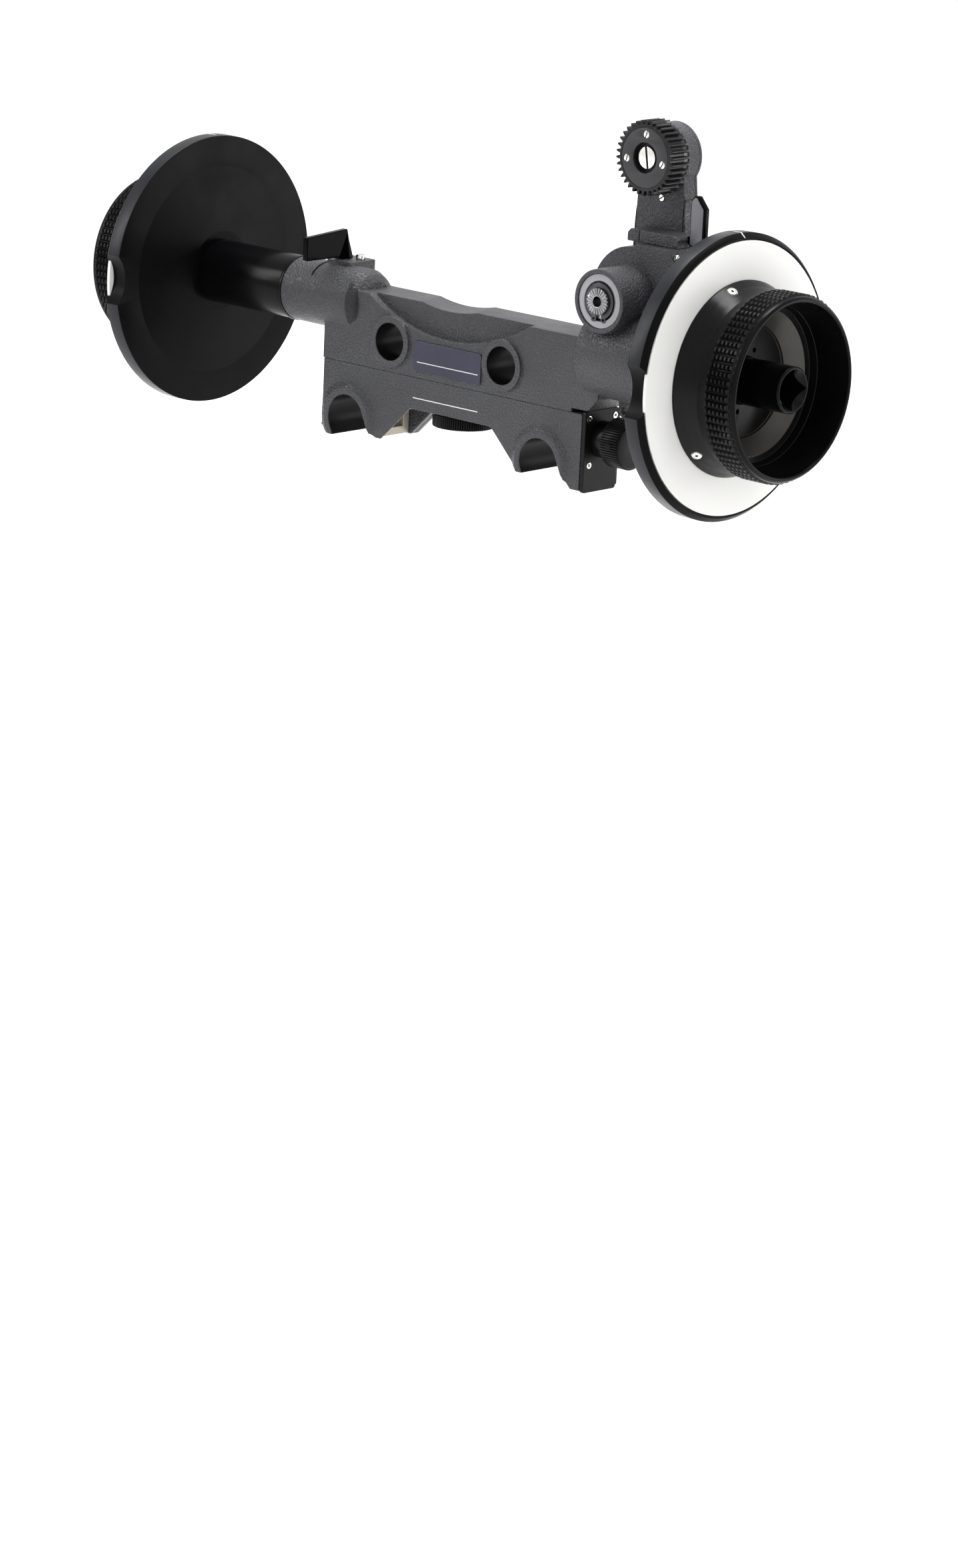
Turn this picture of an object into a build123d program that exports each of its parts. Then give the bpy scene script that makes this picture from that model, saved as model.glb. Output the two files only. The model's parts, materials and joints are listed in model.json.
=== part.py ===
from build123d import *
from math import acos, cos, degrees, pi, radians, sin, sqrt, tan
import os

# Mechanical follow focus unit for film cameras, on a bridge that hooks over two 19 mm rods.
# Millimetres. The origin is the axis of the left 19 mm rod seat at the front face.
# +X runs from the left hand wheel to the right one, +Y goes back along the rods, +Z is up.

# ---------------------------------------------------------------- driving dimensions
rod19_pitch = 104.0       # between the two 19 mm rods
rod19_seat_r = 9.6        # hook that holds a 19 mm rod
rod15_pitch = 60.0        # between the two 15 mm rods
rod15_bore_r = 7.53       # bore for a 15 mm rod
rod15_z = 34.5            # height of the 15 mm rods over the 19 mm rods
frame_depth = 20.0        # front to back of the plate and of the bridge
seam_z = 22.3             # where the plate stands on the bridge
plate_top_z = 52.0
shaft_y = 9.6             # hand wheel shaft
shaft_z = 46.2
shaft_r = 3.0
running = 0.05            # radial clearance of a running fit
gap = 0.3                 # air between parts that move past each other

x_mid = rod19_pitch / 2

# main casting
plate_left = x_mid - 67.0
plate_right = x_mid + 80.0
rod15_boss_r = 10.3
boss_proud = 1.0
left_housing_r = 13.0
left_housing_start = x_mid - 89.0
left_housing_end = x_mid - 47.5
left_bore_depth = 30.0
lug_y = 7.2
tube_r = 12.8
tube_bore_r = 8.4
spigot_r = 10.55
spigot_length = 28.7
ear_right = x_mid - 61.3
ear_width = 13.2
ear_front = 7.4
ear_length = 15.4
clamp_bolt_r = 2.0
clamp_bolt_depth = 3.6
label_thickness = 0.5
gear_housing_r = 17.5
gear_housing_start = x_mid + 73.6
gear_housing_end = x_mid + 122.0
end_cap_width = 4.0
gear_housing_wall = 1.9
scoop_r = 81.0            # front clearance for a large lens, centred over the unit
scoop_depth = 3.8
scoop_low_z = 39.4
dip_r = 58.0              # shallow dip in the top edge
dip_depth = 1.7
dip_turn = 18.0

# lower output, above the wheel shaft and square to it
drive_teeth = 20
output_teeth = 12
drive_module = 1.0        # normal module of the crossed helical pair
helix = 45.0
drive_width = 8.0
output_x = x_mid + 84.8
output_front = -8.0       # face of the boss
boss_r = 12.3
drum_front = 10.0
drum_back = 24.7
drum_r = 19.3
drum_top_z = 89.4
drum_right = output_x + 18.9
bearing_r = 10.46
bearing_width = 4.0
shoulder_r = 7.2          # shoulder that the output's front bearing rests on
shoulder_width = 2.0
output_shaft_r = 4.0
output_thread_r = 2.1     # core of an M5 thread
rear_seat_r = 8.0
shaft_bearing_r = 6.5
side_screw_y = 13.7
side_screw_z = 86.0
lever_y = 21.5
lever_z = 92.1
lever_pin_r = 1.4
lever_pin_length = 9.0
serration_r = 5.1

# gear arm
arm_front = 25.0
arm_pocket = 27.0
arm_cover_front = 31.6
arm_back = 33.0
arm_half_width = 12.6
arm_head_r = 12.8
pivot_r = 11.0
train_module = 0.8
train_teeth = 22
train_width = 3.6
axle_r = 2.0
lens_teeth = 34
lens_gear_front = 14.2
lens_gear_width = 8.3
train_front = 27.3
spindle_r = 3.0
spindle_front = 17.0
arm_neck = 10.6
arm_screw_x = output_x + 0.4
arm_screw_z = 105.7
arm_screw_width = 0.8
cover_r = 11.55
cover_width = 0.8
recess_r = 5.9
cover_screw_r = 1.35
cover_screw_circle = 9.1

# wheels and index discs, measured along the shaft outwards from the disc's back edge
disc_back = x_mid + 131.8
stack_middle = x_mid - 4.4      # the left wheel is the mirror image of the right one about this
disc_r = 55.0
rim_width = 6.2
disc_front = 8.2
dish_r = disc_r - 12.5
dish_rise = 4.0
hub_r = 13.2
marking_r = disc_r - 2.8
marking_width = 1.5
marking_back = 6.95
wheel_start = marking_back + marking_width
spigot_wheel_r = 20.0
wheel_depth = 36.0
flange_edge = wheel_start + 0.85
flare_end = wheel_start + 7.15  # where the flare has come down to the neck
hub_flange_r = 37.5
neck_r = 33.6
flare_screw_r = 1.9
flare_screw_depth = 1.2
screw_start = 105.8
grip_start = wheel_depth - 14.0
grip_end = wheel_depth - 2.0
grip_r = 35.1
hollow_r = 32.4
hollow_step = grip_start + 2.8
step_r = hollow_r - 2.0
floor_front = wheel_start + 3.75
floor_r = 21.6
cone_front = floor_front + 6.0
socket_boss_r = 9.0
socket_bottom = grip_start
socket_front = wheel_depth - 0.3
socket_side = 11.4
notch_r = 14.3
notch_depth = 4.9

# bridge
bridge_left = plate_left + 0.5
hook_bottom = -7.8
hook_tip_z = -5.5
hook_corner = 3.0
left_lip_x = -6.3
left_tip_x = 15.3
right_tip_x = rod19_pitch - 11.6
right_lip_x = rod19_pitch + 15.9
notch_to_left = 18.2
notch_to_right = 25.1
notch_top_z = 9.5
mouth_turn = 25.0         # the rod enters from below, this far round from straight up
bridge_right = x_mid + 72.4
cone_r = 15.0
cone_top_r = 12.2
cone_proud = 1.6
back_plate_width = 2.6
end_plate_width = 1.9
end_plate_top = 23.6
end_plate_bottom = -8.6
clamp_y = 10.5
clamp_z = 11.8
clamp_screw_r = 2.5
clamp_travel = 5.5
thumb_y = 12.0
thumb_r = 14.2
thumb_bottom = 4.2
thumb_screw_r = 3.0
thumb_reach = 9.0
left_jaw_x = rod19_seat_r + 0.4
right_jaw_x = rod19_pitch + rod19_seat_r + 0.4
right_jaw_thickness = 4.4
right_jaw_width = 8.6
jaw_front = 1.2
jaw_back = 17.3
bar_y = 10.7
bar_width = 13.4
bar_bottom = 11.2
bar_top = 16.0
knob_r = 10.3
end_screw_r = 1.3


# ---------------------------------------------------------------- helpers
def facing(y):
    """Plane at depth y, seen from the front: local x is X and local y is Z."""
    return Plane.XZ.offset(-y)


def across(x):
    """Plane square to the shaft at x: local x is Y and local y is Z."""
    return Plane.YZ.offset(x)


def level(z):
    """Horizontal plane at height z."""
    return Plane.XY.offset(z)


def turned(center_y, center_z):
    """Plane for a profile that is turned about the X axis through (center_y, center_z)."""
    return Plane(origin=(0, center_y, center_z), x_dir=(1, 0, 0), z_dir=(0, -1, 0))


def involute_angle(base_r, radius):
    """Angle by which an involute has left its base circle at a radius."""
    if radius <= base_r:
        return 0.0
    pressure = acos(base_r / radius)
    return tan(pressure) - pressure


def gear_outline(teeth, pitch_r, tip_r, root_r, pressure_deg, slack, first_deg):
    """Closed outline of a gear with involute flanks, inside a BuildLine block.

    slack thins each tooth at the pitch circle, and first_deg turns the middle of a tooth.
    """
    base_r = pitch_r * cos(radians(pressure_deg))
    half_pitch_angle = pi / (2 * teeth) - slack / (2 * pitch_r)
    base_half = half_pitch_angle + involute_angle(base_r, pitch_r)
    middle_r = (max(root_r, base_r) + tip_r) / 2

    def at(radius, angle):
        return (radius * cos(angle), radius * sin(angle))

    def half(radius):
        return base_half - involute_angle(base_r, radius)

    for tooth in range(teeth):
        center = radians(first_deg) + 2 * pi * tooth / teeth
        following = center + 2 * pi / teeth
        low_start = at(root_r, center - half(root_r))
        low_end = at(root_r, center + half(root_r))
        tip_start = at(tip_r, center - half(tip_r))
        tip_end = at(tip_r, center + half(tip_r))
        ThreePointArc(low_start, at(middle_r, center - half(middle_r)), tip_start)
        Line(tip_start, tip_end)
        ThreePointArc(tip_end, at(middle_r, center + half(middle_r)), low_end)
        Line(low_end, at(root_r, following - half(root_r)))


def spur_sketch(plane, module, teeth, first_deg, slack=0.12):
    """Face of a spur gear on a plane whose origin is the gear's centre."""
    pitch_r = module * teeth / 2
    with BuildSketch(plane) as face:
        with BuildLine():
            gear_outline(teeth, pitch_r, pitch_r + module, pitch_r - 1.25 * module, 20, slack, first_deg)
        make_face()
    return face.sketch


def helical_solid(plane, teeth, first_deg, direction):
    """Helical gear whose teeth lie at 45 degrees, extruded along direction with a twist."""
    pitch_r = drive_module * teeth / (2 * cos(radians(helix)))
    pressure = degrees(atan_ratio(tan(radians(20)), cos(radians(helix))))
    with BuildSketch(plane) as face:
        with BuildLine():
            gear_outline(
                teeth, pitch_r, pitch_r + drive_module * 0.9, pitch_r - drive_module * 1.2,
                pressure, 0.35, first_deg,
            )
        make_face()
    twist = -degrees(drive_width * tan(radians(helix)) / pitch_r)
    return Solid.extrude_linear_with_rotation(face.sketch.face(), plane.origin, direction, twist)


def atan_ratio(rise, run):
    """Angle in radians whose tangent is rise over run."""
    return acos(run / sqrt(run * run + rise * rise))


def twist_of(teeth):
    """Angle a helical gear turns through over its width."""
    pitch_r = drive_module * teeth / (2 * cos(radians(helix)))
    return -degrees(drive_width * tan(radians(helix)) / pitch_r)


def outward(side, distance):
    """X at a distance outwards from an index disc's back edge: side 1 is right, -1 is left."""
    right_x = disc_back + distance
    return right_x if side > 0 else 2 * stack_middle - right_x


def flare_plane(side, turn):
    """Plane on the middle of a wheel's flare, square to it and facing out, turn degrees round the shaft."""
    rise = flare_end - flange_edge
    fall = hub_flange_r - neck_r - 0.5
    slope = sqrt(rise * rise + fall * fall)
    middle_r = (hub_flange_r + neck_r + 0.5) / 2
    spot = outward(side, (flange_edge + flare_end) / 2 - 0.6)
    out_y = cos(radians(turn))
    out_z = sin(radians(turn))
    return Plane(
        origin=(spot, shaft_y + (middle_r + 0.3) * out_y, shaft_z + (middle_r + 0.3) * out_z),
        x_dir=(0, -out_z, out_y),
        z_dir=(side * fall / slope, rise / slope * out_y, rise / slope * out_z),
    )


def bridge_outline():
    """Outline of the bridge seen from the front, before the rods' openings, inside a BuildLine."""
    Polyline(
        (bridge_left, seam_z),
        (bridge_left, hook_bottom + hook_corner),
        (bridge_left + hook_corner, hook_bottom),
        (left_lip_x, hook_bottom),
        (left_tip_x - hook_corner, hook_tip_z + hook_corner / 2),
        (left_tip_x, hook_tip_z),
        (left_tip_x + hook_corner, hook_tip_z),
        (x_mid - notch_to_left, notch_top_z),
        (x_mid + notch_to_right, notch_top_z),
        (right_tip_x, hook_tip_z),
        (right_tip_x + hook_corner, hook_tip_z),
        (right_lip_x - hook_corner, hook_bottom + hook_corner),
        (right_lip_x, hook_bottom),
        (bridge_right, hook_bottom),
        (bridge_right, seam_z),
        close=True,
    )


def write_halves(piece, name):
    """Cut a piece of the bridge beside the thumb screw's bore and write its two halves."""
    joint = Plane(origin=(x_mid - thumb_screw_r - 1.5, 0, 0), z_dir=(1, 0, 0))
    for side, kept in (("right", Keep.TOP), ("left", Keep.BOTTOM)):
        with BuildPart() as half:
            add(piece)
            split(bisect_by=joint, keep=kept)
        write(half.part, f"{name}_{side}")


def rod_openings():
    """Seats of the 19 mm rods with their slanting mouths, inside a BuildSketch."""
    for seat in rod19_x:
        with Locations((seat, 0)):
            Circle(rod19_seat_r)
        with Locations((seat, 0)):
            Rectangle(2 * rod19_seat_r, 40.0, rotation=mouth_turn, align=(Align.CENTER, Align.MAX))


def write(piece, name):
    """Label a finished sub-part and write its STEP file."""
    piece.label = name
    export_step(piece, f"parts/{name}.step")


os.makedirs("parts", exist_ok=True)

# ---------------------------------------------------------------- derived sizes
rod15_x = (x_mid - rod15_pitch / 2, x_mid + rod15_pitch / 2)
rod19_x = (0.0, rod19_pitch)
drive_pitch_r = drive_module * drive_teeth / (2 * cos(radians(helix)))
output_pitch_r = drive_module * output_teeth / (2 * cos(radians(helix)))
output_z = shaft_z + drive_pitch_r + output_pitch_r
output_gear_tip = output_pitch_r + drive_module * 0.9
shaft_bore_r = shaft_r + 0.6
gear_cavity_r = gear_housing_r - gear_housing_wall
train_step = train_module * train_teeth
lens_z = output_z + 3 * train_step
train_z = [output_z + step * train_step for step in range(4)]
train_tip_r = train_module * (train_teeth + 2) / 2
cover_screw_spots = [
    (cover_screw_circle * cos(radians(angle)), cover_screw_circle * sin(radians(angle)))
    for angle in (88, 187, 350)
]
left_bearing_start = left_housing_start + left_bore_depth
coupling_middle = x_mid - 66.0
end_screw_spots = [
    (frame_depth - 2.5, seam_z - 1.9),
    (3.5, 2.2),
    (2.6, seam_z - 1.9),
    (frame_depth - 3.0, 2.0),
]
flare_screw_turns = [screw_start + 120 * step for step in range(3)]
lens_gear_back = lens_gear_front + lens_gear_width
front_bearing_y = output_front + 0.6
output_cavity_y = front_bearing_y + bearing_width + shoulder_width

# ---------------------------------------------------------------- main casting
with BuildPart() as main_casting:
    # upright plate: a step at its lower right clears the bridge's end plate
    step_z = end_plate_top + gap
    with BuildSketch(facing(0)):
        with BuildLine():
            Polyline(
                (plate_left, seam_z),
                (bridge_right - 5.7, seam_z),
                (bridge_right - 5.7, step_z),
                (bridge_right + 2.6, step_z),
                (plate_right, step_z + 5.0),
                (plate_right, plate_top_z),
                (plate_left, plate_top_z),
                close=True,
            )
        make_face()
    extrude(amount=-frame_depth)
    # front clearance for a large lens: an arc that leaves the bosses proud
    with BuildSketch(facing(0)):
        with Locations((x_mid, scoop_low_z + scoop_r)):
            Circle(scoop_r)
    extrude(amount=-scoop_depth, mode=Mode.SUBTRACT)
    # shallow dip across the top edge
    dip_axis = Plane(
        origin=(x_mid - 4.5, frame_depth / 2, plate_top_z - dip_depth + dip_r),
        x_dir=(cos(radians(dip_turn)), sin(radians(dip_turn)), 0),
        z_dir=(sin(radians(dip_turn)), -cos(radians(dip_turn)), 0),
    )
    with BuildSketch(dip_axis):
        Circle(dip_r)
    extrude(amount=2 * frame_depth, both=True, mode=Mode.SUBTRACT)
    # raised rings round the 15 mm bores
    with BuildSketch(facing(-boss_proud)):
        with Locations(*[(x, rod15_z) for x in rod15_x]):
            Circle(rod15_boss_r)
    extrude(amount=-(scoop_depth + boss_proud + 1))
    # bearing housing at the left, with a bevelled inner end
    with BuildSketch(turned(shaft_y, shaft_z)):
        with BuildLine():
            Polyline(
                (left_housing_start, 0),
                (left_housing_start, left_housing_r),
                (left_housing_end - 5.5, left_housing_r),
                (left_housing_end - 2.0, left_housing_r - 1.6),
                (left_housing_end, left_housing_r - 4.5),
                (left_housing_end, 0),
                close=True,
            )
        make_face()
    revolve(axis=Axis((0, shaft_y, shaft_z), (1, 0, 0)))
    # ear of the extension clamp, on top and at the back of the housing
    with BuildSketch(level(shaft_z)):
        with Locations((ear_right - ear_width / 2, ear_front + ear_length / 2)):
            RectangleRounded(ear_width, ear_length, 1.2)
    extrude(amount=left_housing_r + 1.4)
    # gear housing along the shaft at the right
    with BuildSketch(across(gear_housing_start)):
        with Locations((shaft_y, shaft_z)):
            Circle(gear_housing_r)
    extrude(amount=gear_housing_end - gear_housing_start)
    # upper housing behind the output boss: round at the left, flat on top and at the right
    with BuildSketch(facing(drum_front)):
        with BuildLine():
            drum_left = (output_x - drum_r, output_z)
            drum_peak = (output_x, output_z + drum_r)
            Line((output_x - drum_r, shaft_z), drum_left)
            ThreePointArc(
                drum_left,
                (output_x - drum_r * cos(pi / 4), output_z + drum_r * sin(pi / 4)),
                drum_peak,
            )
            Polyline(
                drum_peak,
                (output_x + 1.5, drum_top_z),
                (drum_right, drum_top_z),
                (drum_right, shaft_z),
                (output_x - drum_r, shaft_z),
            )
        make_face()
    extrude(amount=-(drum_back - drum_front))
    # boss of the lower output
    with BuildSketch(facing(output_front)):
        with Locations((output_x, output_z)):
            Circle(boss_r)
    extrude(amount=-(drum_back - output_front))
    # short sleeve that the gear arm swings on
    with BuildSketch(facing(drum_back)):
        with Locations((output_x, output_z)):
            Circle(pivot_r)
    extrude(amount=-(arm_pocket - 0.2 - drum_back))
    # small drilled lug under the gear housing
    with BuildSketch(facing(lug_y)):
        with Locations((output_x + 2.5, shaft_z - gear_housing_r - 3.4)):
            Circle(2.9)
        with Locations((output_x + 2.5, shaft_z - gear_housing_r)):
            Rectangle(5.8, 6.8)
        with Locations((output_x + 2.5, shaft_z - gear_housing_r - 3.4)):
            Circle(1.3, mode=Mode.SUBTRACT)
    extrude(amount=-5.0)
    # 15 mm rod bores, right through
    with BuildSketch(facing(-boss_proud - 1)):
        with Locations(*[(x, rod15_z) for x in rod15_x]):
            Circle(rod15_bore_r)
    extrude(amount=-(frame_depth + boss_proud + 4), mode=Mode.SUBTRACT)
    # shaft bore from end to end, opened at the left for the extension tube
    with BuildSketch(across(left_housing_start - 1)):
        with Locations((shaft_y, shaft_z)):
            Circle(shaft_bore_r)
    extrude(amount=gear_housing_end - left_housing_start + 2, mode=Mode.SUBTRACT)
    with BuildSketch(across(left_housing_start - 1)):
        with Locations((shaft_y, shaft_z)):
            Circle(spigot_r + running)
    extrude(amount=1 + left_bore_depth, mode=Mode.SUBTRACT)
    with BuildSketch(across(left_bearing_start - 1)):
        with Locations((shaft_y, shaft_z)):
            Circle(shaft_bearing_r + 0.02)
    extrude(amount=1 + bearing_width, mode=Mode.SUBTRACT)
    # cavity of the drive gear, open at the right
    with BuildSketch(across(output_x - drive_width / 2 - 3.0)):
        with Locations((shaft_y, shaft_z)):
            Circle(gear_cavity_r)
    extrude(amount=gear_housing_end - output_x + drive_width, mode=Mode.SUBTRACT)
    # bearing seats, shoulder and gear cavity of the output, right through
    with BuildSketch(facing(output_front - 1)):
        with Locations((output_x, output_z)):
            Circle(bearing_r + 0.02)
    extrude(amount=-(front_bearing_y + bearing_width - output_front + 1), mode=Mode.SUBTRACT)
    with BuildSketch(facing(output_front)):
        with Locations((output_x, output_z)):
            Circle(shoulder_r)
    extrude(amount=-(output_cavity_y - output_front + 1), mode=Mode.SUBTRACT)
    with BuildSketch(facing(output_cavity_y)):
        with Locations((output_x, output_z)):
            Circle(output_gear_tip + 0.4)
    extrude(amount=-(drum_back - bearing_width - output_cavity_y), mode=Mode.SUBTRACT)
    with BuildSketch(facing(drum_back - bearing_width - 2.0)):
        with Locations((output_x, output_z)):
            Circle(rear_seat_r)
    extrude(amount=-(bearing_width + 6), mode=Mode.SUBTRACT)
    # hole of the extension clamp's bolt, and of the ear's screw
    with BuildSketch(level(shaft_z + left_housing_r + 1.4 - clamp_bolt_depth)):
        with Locations((x_mid - 70.0, 14.0)):
            Circle(clamp_bolt_r + running)
        with Locations((x_mid - 64.6, 16.8)):
            Circle(1.8)
    extrude(amount=10.0, mode=Mode.SUBTRACT)
    # socket of the side screw, and the tapped hole over the bridge's thumb screw
    with BuildSketch(across(drum_right - 2.5)):
        with Locations((side_screw_y, side_screw_z)):
            Circle(1.5)
    extrude(amount=4.0, mode=Mode.SUBTRACT)
    with BuildSketch(level(seam_z - 1)):
        with Locations((x_mid, thumb_y)):
            Circle(thumb_screw_r + running)
    extrude(amount=thumb_reach + 1.5, mode=Mode.SUBTRACT)
    # saw cut that lets the clamp close on the extension tube
    with BuildSketch(across(x_mid - 75.3)):
        with Locations((shaft_y + 1.0, shaft_z + 12.0)):
            Rectangle(22.0, 14.0)
    extrude(amount=0.8, mode=Mode.SUBTRACT)
write(main_casting.part, "main_casting")

# ---------------------------------------------------------------- fixed pieces on the casting
with BuildPart() as label_plate:
    with BuildSketch(facing(-label_thickness)):
        with Locations((x_mid + 1.1, 31.0)):
            RectangleRounded(36.2, 12.2, 1.2)
    extrude(amount=-label_thickness)
write(label_plate.part, "label_plate")

with BuildPart() as output_bearing_front:
    with BuildSketch(facing(front_bearing_y)):
        with Locations((output_x, output_z)):
            Circle(bearing_r)
            Circle(serration_r + running, mode=Mode.SUBTRACT)
    extrude(amount=-bearing_width)
write(output_bearing_front.part, "output_bearing_front")

with BuildPart() as output_bearing_rear:
    with BuildSketch(facing(drum_back - bearing_width)):
        with Locations((output_x, output_z)):
            Circle(rear_seat_r - 0.02)
            Circle(output_shaft_r + running, mode=Mode.SUBTRACT)
    extrude(amount=-bearing_width)
write(output_bearing_rear.part, "output_bearing_rear")

# closes the gear housing and carries the right index disc
cap_start = gear_housing_end - bearing_width
with BuildPart() as housing_end_cap:
    with BuildSketch(turned(shaft_y, shaft_z)):
        with BuildLine():
            Polyline(
                (cap_start, shaft_bearing_r + 0.02),
                (cap_start, gear_cavity_r - 0.05),
                (gear_housing_end, gear_cavity_r - 0.05),
                (gear_housing_end, gear_housing_r),
                (gear_housing_end + end_cap_width, gear_housing_r),
                (gear_housing_end + end_cap_width, hub_r),
                (disc_back - dish_rise, hub_r),
                (disc_back - dish_rise, shaft_bore_r),
                (gear_housing_end, shaft_bore_r),
                (gear_housing_end, shaft_bearing_r + 0.02),
                close=True,
            )
        make_face()
    revolve(axis=Axis((0, shaft_y, shaft_z), (1, 0, 0)))
write(housing_end_cap.part, "housing_end_cap")

# three bearings of the wheel shaft: end cap, left housing and far end of the tube
tube_end = outward(-1, -dish_rise)
bearing_starts = (cap_start, left_bearing_start, tube_end)
with BuildPart() as shaft_bearing_right:
    with BuildSketch(across(bearing_starts[0])):
        with Locations((shaft_y, shaft_z)):
            Circle(shaft_bearing_r)
            Circle(shaft_r + running, mode=Mode.SUBTRACT)
    extrude(amount=bearing_width)
write(shaft_bearing_right.part, "shaft_bearing_right")

with BuildPart() as shaft_bearing_left:
    with BuildSketch(across(bearing_starts[1])):
        with Locations((shaft_y, shaft_z)):
            Circle(shaft_bearing_r)
            Circle(shaft_r + running, mode=Mode.SUBTRACT)
    extrude(amount=bearing_width)
write(shaft_bearing_left.part, "shaft_bearing_left")

with BuildPart() as shaft_bearing_outer:
    with BuildSketch(across(bearing_starts[2])):
        with Locations((shaft_y, shaft_z)):
            Circle(shaft_bearing_r)
            Circle(shaft_r + running, mode=Mode.SUBTRACT)
    extrude(amount=bearing_width)
write(shaft_bearing_outer.part, "shaft_bearing_outer")

# tube that carries the left index disc; its spigot is clamped in the left housing
with BuildPart() as extension_tube:
    with BuildSketch(turned(shaft_y, shaft_z)):
        with BuildLine():
            Polyline(
                (tube_end, shaft_bearing_r + 0.02),
                (tube_end, tube_r),
                (left_housing_start, tube_r),
                (left_housing_start, spigot_r),
                (left_housing_start + spigot_length, spigot_r),
                (left_housing_start + spigot_length, tube_bore_r),
                (tube_end + bearing_width, tube_bore_r),
                (tube_end + bearing_width, shaft_bearing_r + 0.02),
                close=True,
            )
        make_face()
    revolve(axis=Axis((0, shaft_y, shaft_z), (1, 0, 0)))
write(extension_tube.part, "extension_tube")

with BuildPart() as extension_ring:
    with BuildSketch(across(left_housing_start - 1.4)):
        with Locations((shaft_y, shaft_z)):
            Circle(left_housing_r + 0.2)
            Circle(tube_r + 0.02, mode=Mode.SUBTRACT)
    extrude(amount=1.4)
write(extension_ring.part, "extension_ring")

ear_top = shaft_z + left_housing_r + 1.4
with BuildPart() as ear_screw:
    with BuildSketch(level(ear_top - 3.0)):
        with Locations((x_mid - 64.6, 16.8)):
            Circle(1.8)
    extrude(amount=4.6)
write(ear_screw.part, "ear_screw")

# guide block on top of the upper housing; the lever's pin turns in it
block_top = drum_top_z + 4.8
with BuildPart() as arm_guide_block:
    with BuildSketch(facing(14.0)):
        with BuildLine():
            Polyline(
                (output_x - 6.4, drum_top_z),
                (output_x - 6.4, block_top - 1.6),
                (output_x - 5.0, block_top),
                (output_x + 17.2, block_top),
                (drum_right - 0.1, block_top - 1.6),
                (drum_right - 0.1, drum_top_z),
                close=True,
            )
        make_face()
    extrude(amount=-(drum_back - 14.0))
    with BuildSketch(across(drum_right - 0.1 - lever_pin_length)):
        with Locations((lever_y, lever_z)):
            Circle(lever_pin_r + running)
    extrude(amount=lever_pin_length + 1, mode=Mode.SUBTRACT)
write(arm_guide_block.part, "arm_guide_block")

with BuildPart() as side_screw:
    with BuildSketch(across(drum_right - 2.5)):
        with Locations((side_screw_y, side_screw_z)):
            Circle(1.5)
    extrude(amount=2.9)
write(side_screw.part, "side_screw")

# ---------------------------------------------------------------- index discs
for side, name in ((1, "index_disc_right"), (-1, "index_disc_left")):
    with BuildPart() as index_disc:
        with BuildSketch(turned(shaft_y, shaft_z)):
            with BuildLine():
                Polyline(
                    (outward(side, -dish_rise), shaft_bore_r),
                    (outward(side, -dish_rise), hub_r + 3.0),
                    (outward(side, 0), dish_r),
                    (outward(side, 0), disc_r),
                    (outward(side, rim_width), disc_r),
                    (outward(side, disc_front), disc_r - 1.8),
                    (outward(side, disc_front), marking_r + gap),
                    (outward(side, marking_back - gap), marking_r + gap),
                    (outward(side, marking_back - gap), dish_r + 3.0),
                    (outward(side, 2.4), dish_r),
                    (outward(side, 2.4 - dish_rise), hub_r + 2.0),
                    (outward(side, 2.4 - dish_rise), shaft_bore_r),
                    close=True,
                )
            make_face()
        revolve(axis=Axis((0, shaft_y, shaft_z), (1, 0, 0)))
        # thumb notch at the front edge
        with BuildSketch(across(min(outward(side, -1), outward(side, disc_front + 1)))):
            with Locations((shaft_y - disc_r + notch_depth - notch_r, shaft_z)):
                Circle(notch_r)
        extrude(amount=disc_front + 2, mode=Mode.SUBTRACT)
    write(index_disc.part, name)

# ---------------------------------------------------------------- turning parts on the wheel shaft
with BuildPart() as wheel_shaft:
    with BuildSketch(across(coupling_middle)):
        with Locations((shaft_y, shaft_z)):
            Circle(shaft_r)
    extrude(amount=outward(1, socket_bottom) - coupling_middle)
write(wheel_shaft.part, "wheel_shaft")

with BuildPart() as extension_shaft:
    with BuildSketch(across(outward(-1, socket_bottom))):
        with Locations((shaft_y, shaft_z)):
            Circle(shaft_r)
    extrude(amount=coupling_middle - outward(-1, socket_bottom))
write(extension_shaft.part, "extension_shaft")

with BuildPart() as shaft_coupling:
    with BuildSketch(across(coupling_middle - 5.5)):
        with Locations((shaft_y, shaft_z)):
            Circle(6.0)
            Circle(shaft_r, mode=Mode.SUBTRACT)
    extrude(amount=11.0)
write(shaft_coupling.part, "shaft_coupling")

# crossed helical pair: a tooth of the drive gear points up into a gap of the output gear
drive_twist = twist_of(drive_teeth)
drive_start = output_x - drive_width / 2
with BuildPart() as drive_gear:
    add(helical_solid(
        Plane(origin=(drive_start, shaft_y, shaft_z), x_dir=(0, 1, 0), z_dir=(1, 0, 0)),
        drive_teeth, 90 - drive_twist / 2, (drive_width, 0, 0),
    ))
    with BuildSketch(across(drive_start - 1)):
        with Locations((shaft_y, shaft_z)):
            Circle(shaft_r)
    extrude(amount=drive_width + 2, mode=Mode.SUBTRACT)
write(drive_gear.part, "drive_gear")

for side, name in ((1, "marking_disc_right"), (-1, "marking_disc_left")):
    with BuildPart() as marking_disc:
        with BuildSketch(across(min(outward(side, marking_back), outward(side, wheel_start)))):
            with Locations((shaft_y, shaft_z)):
                Circle(marking_r)
                Circle(spigot_wheel_r, mode=Mode.SUBTRACT)
        extrude(amount=marking_width)
    write(marking_disc.part, name)

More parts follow.
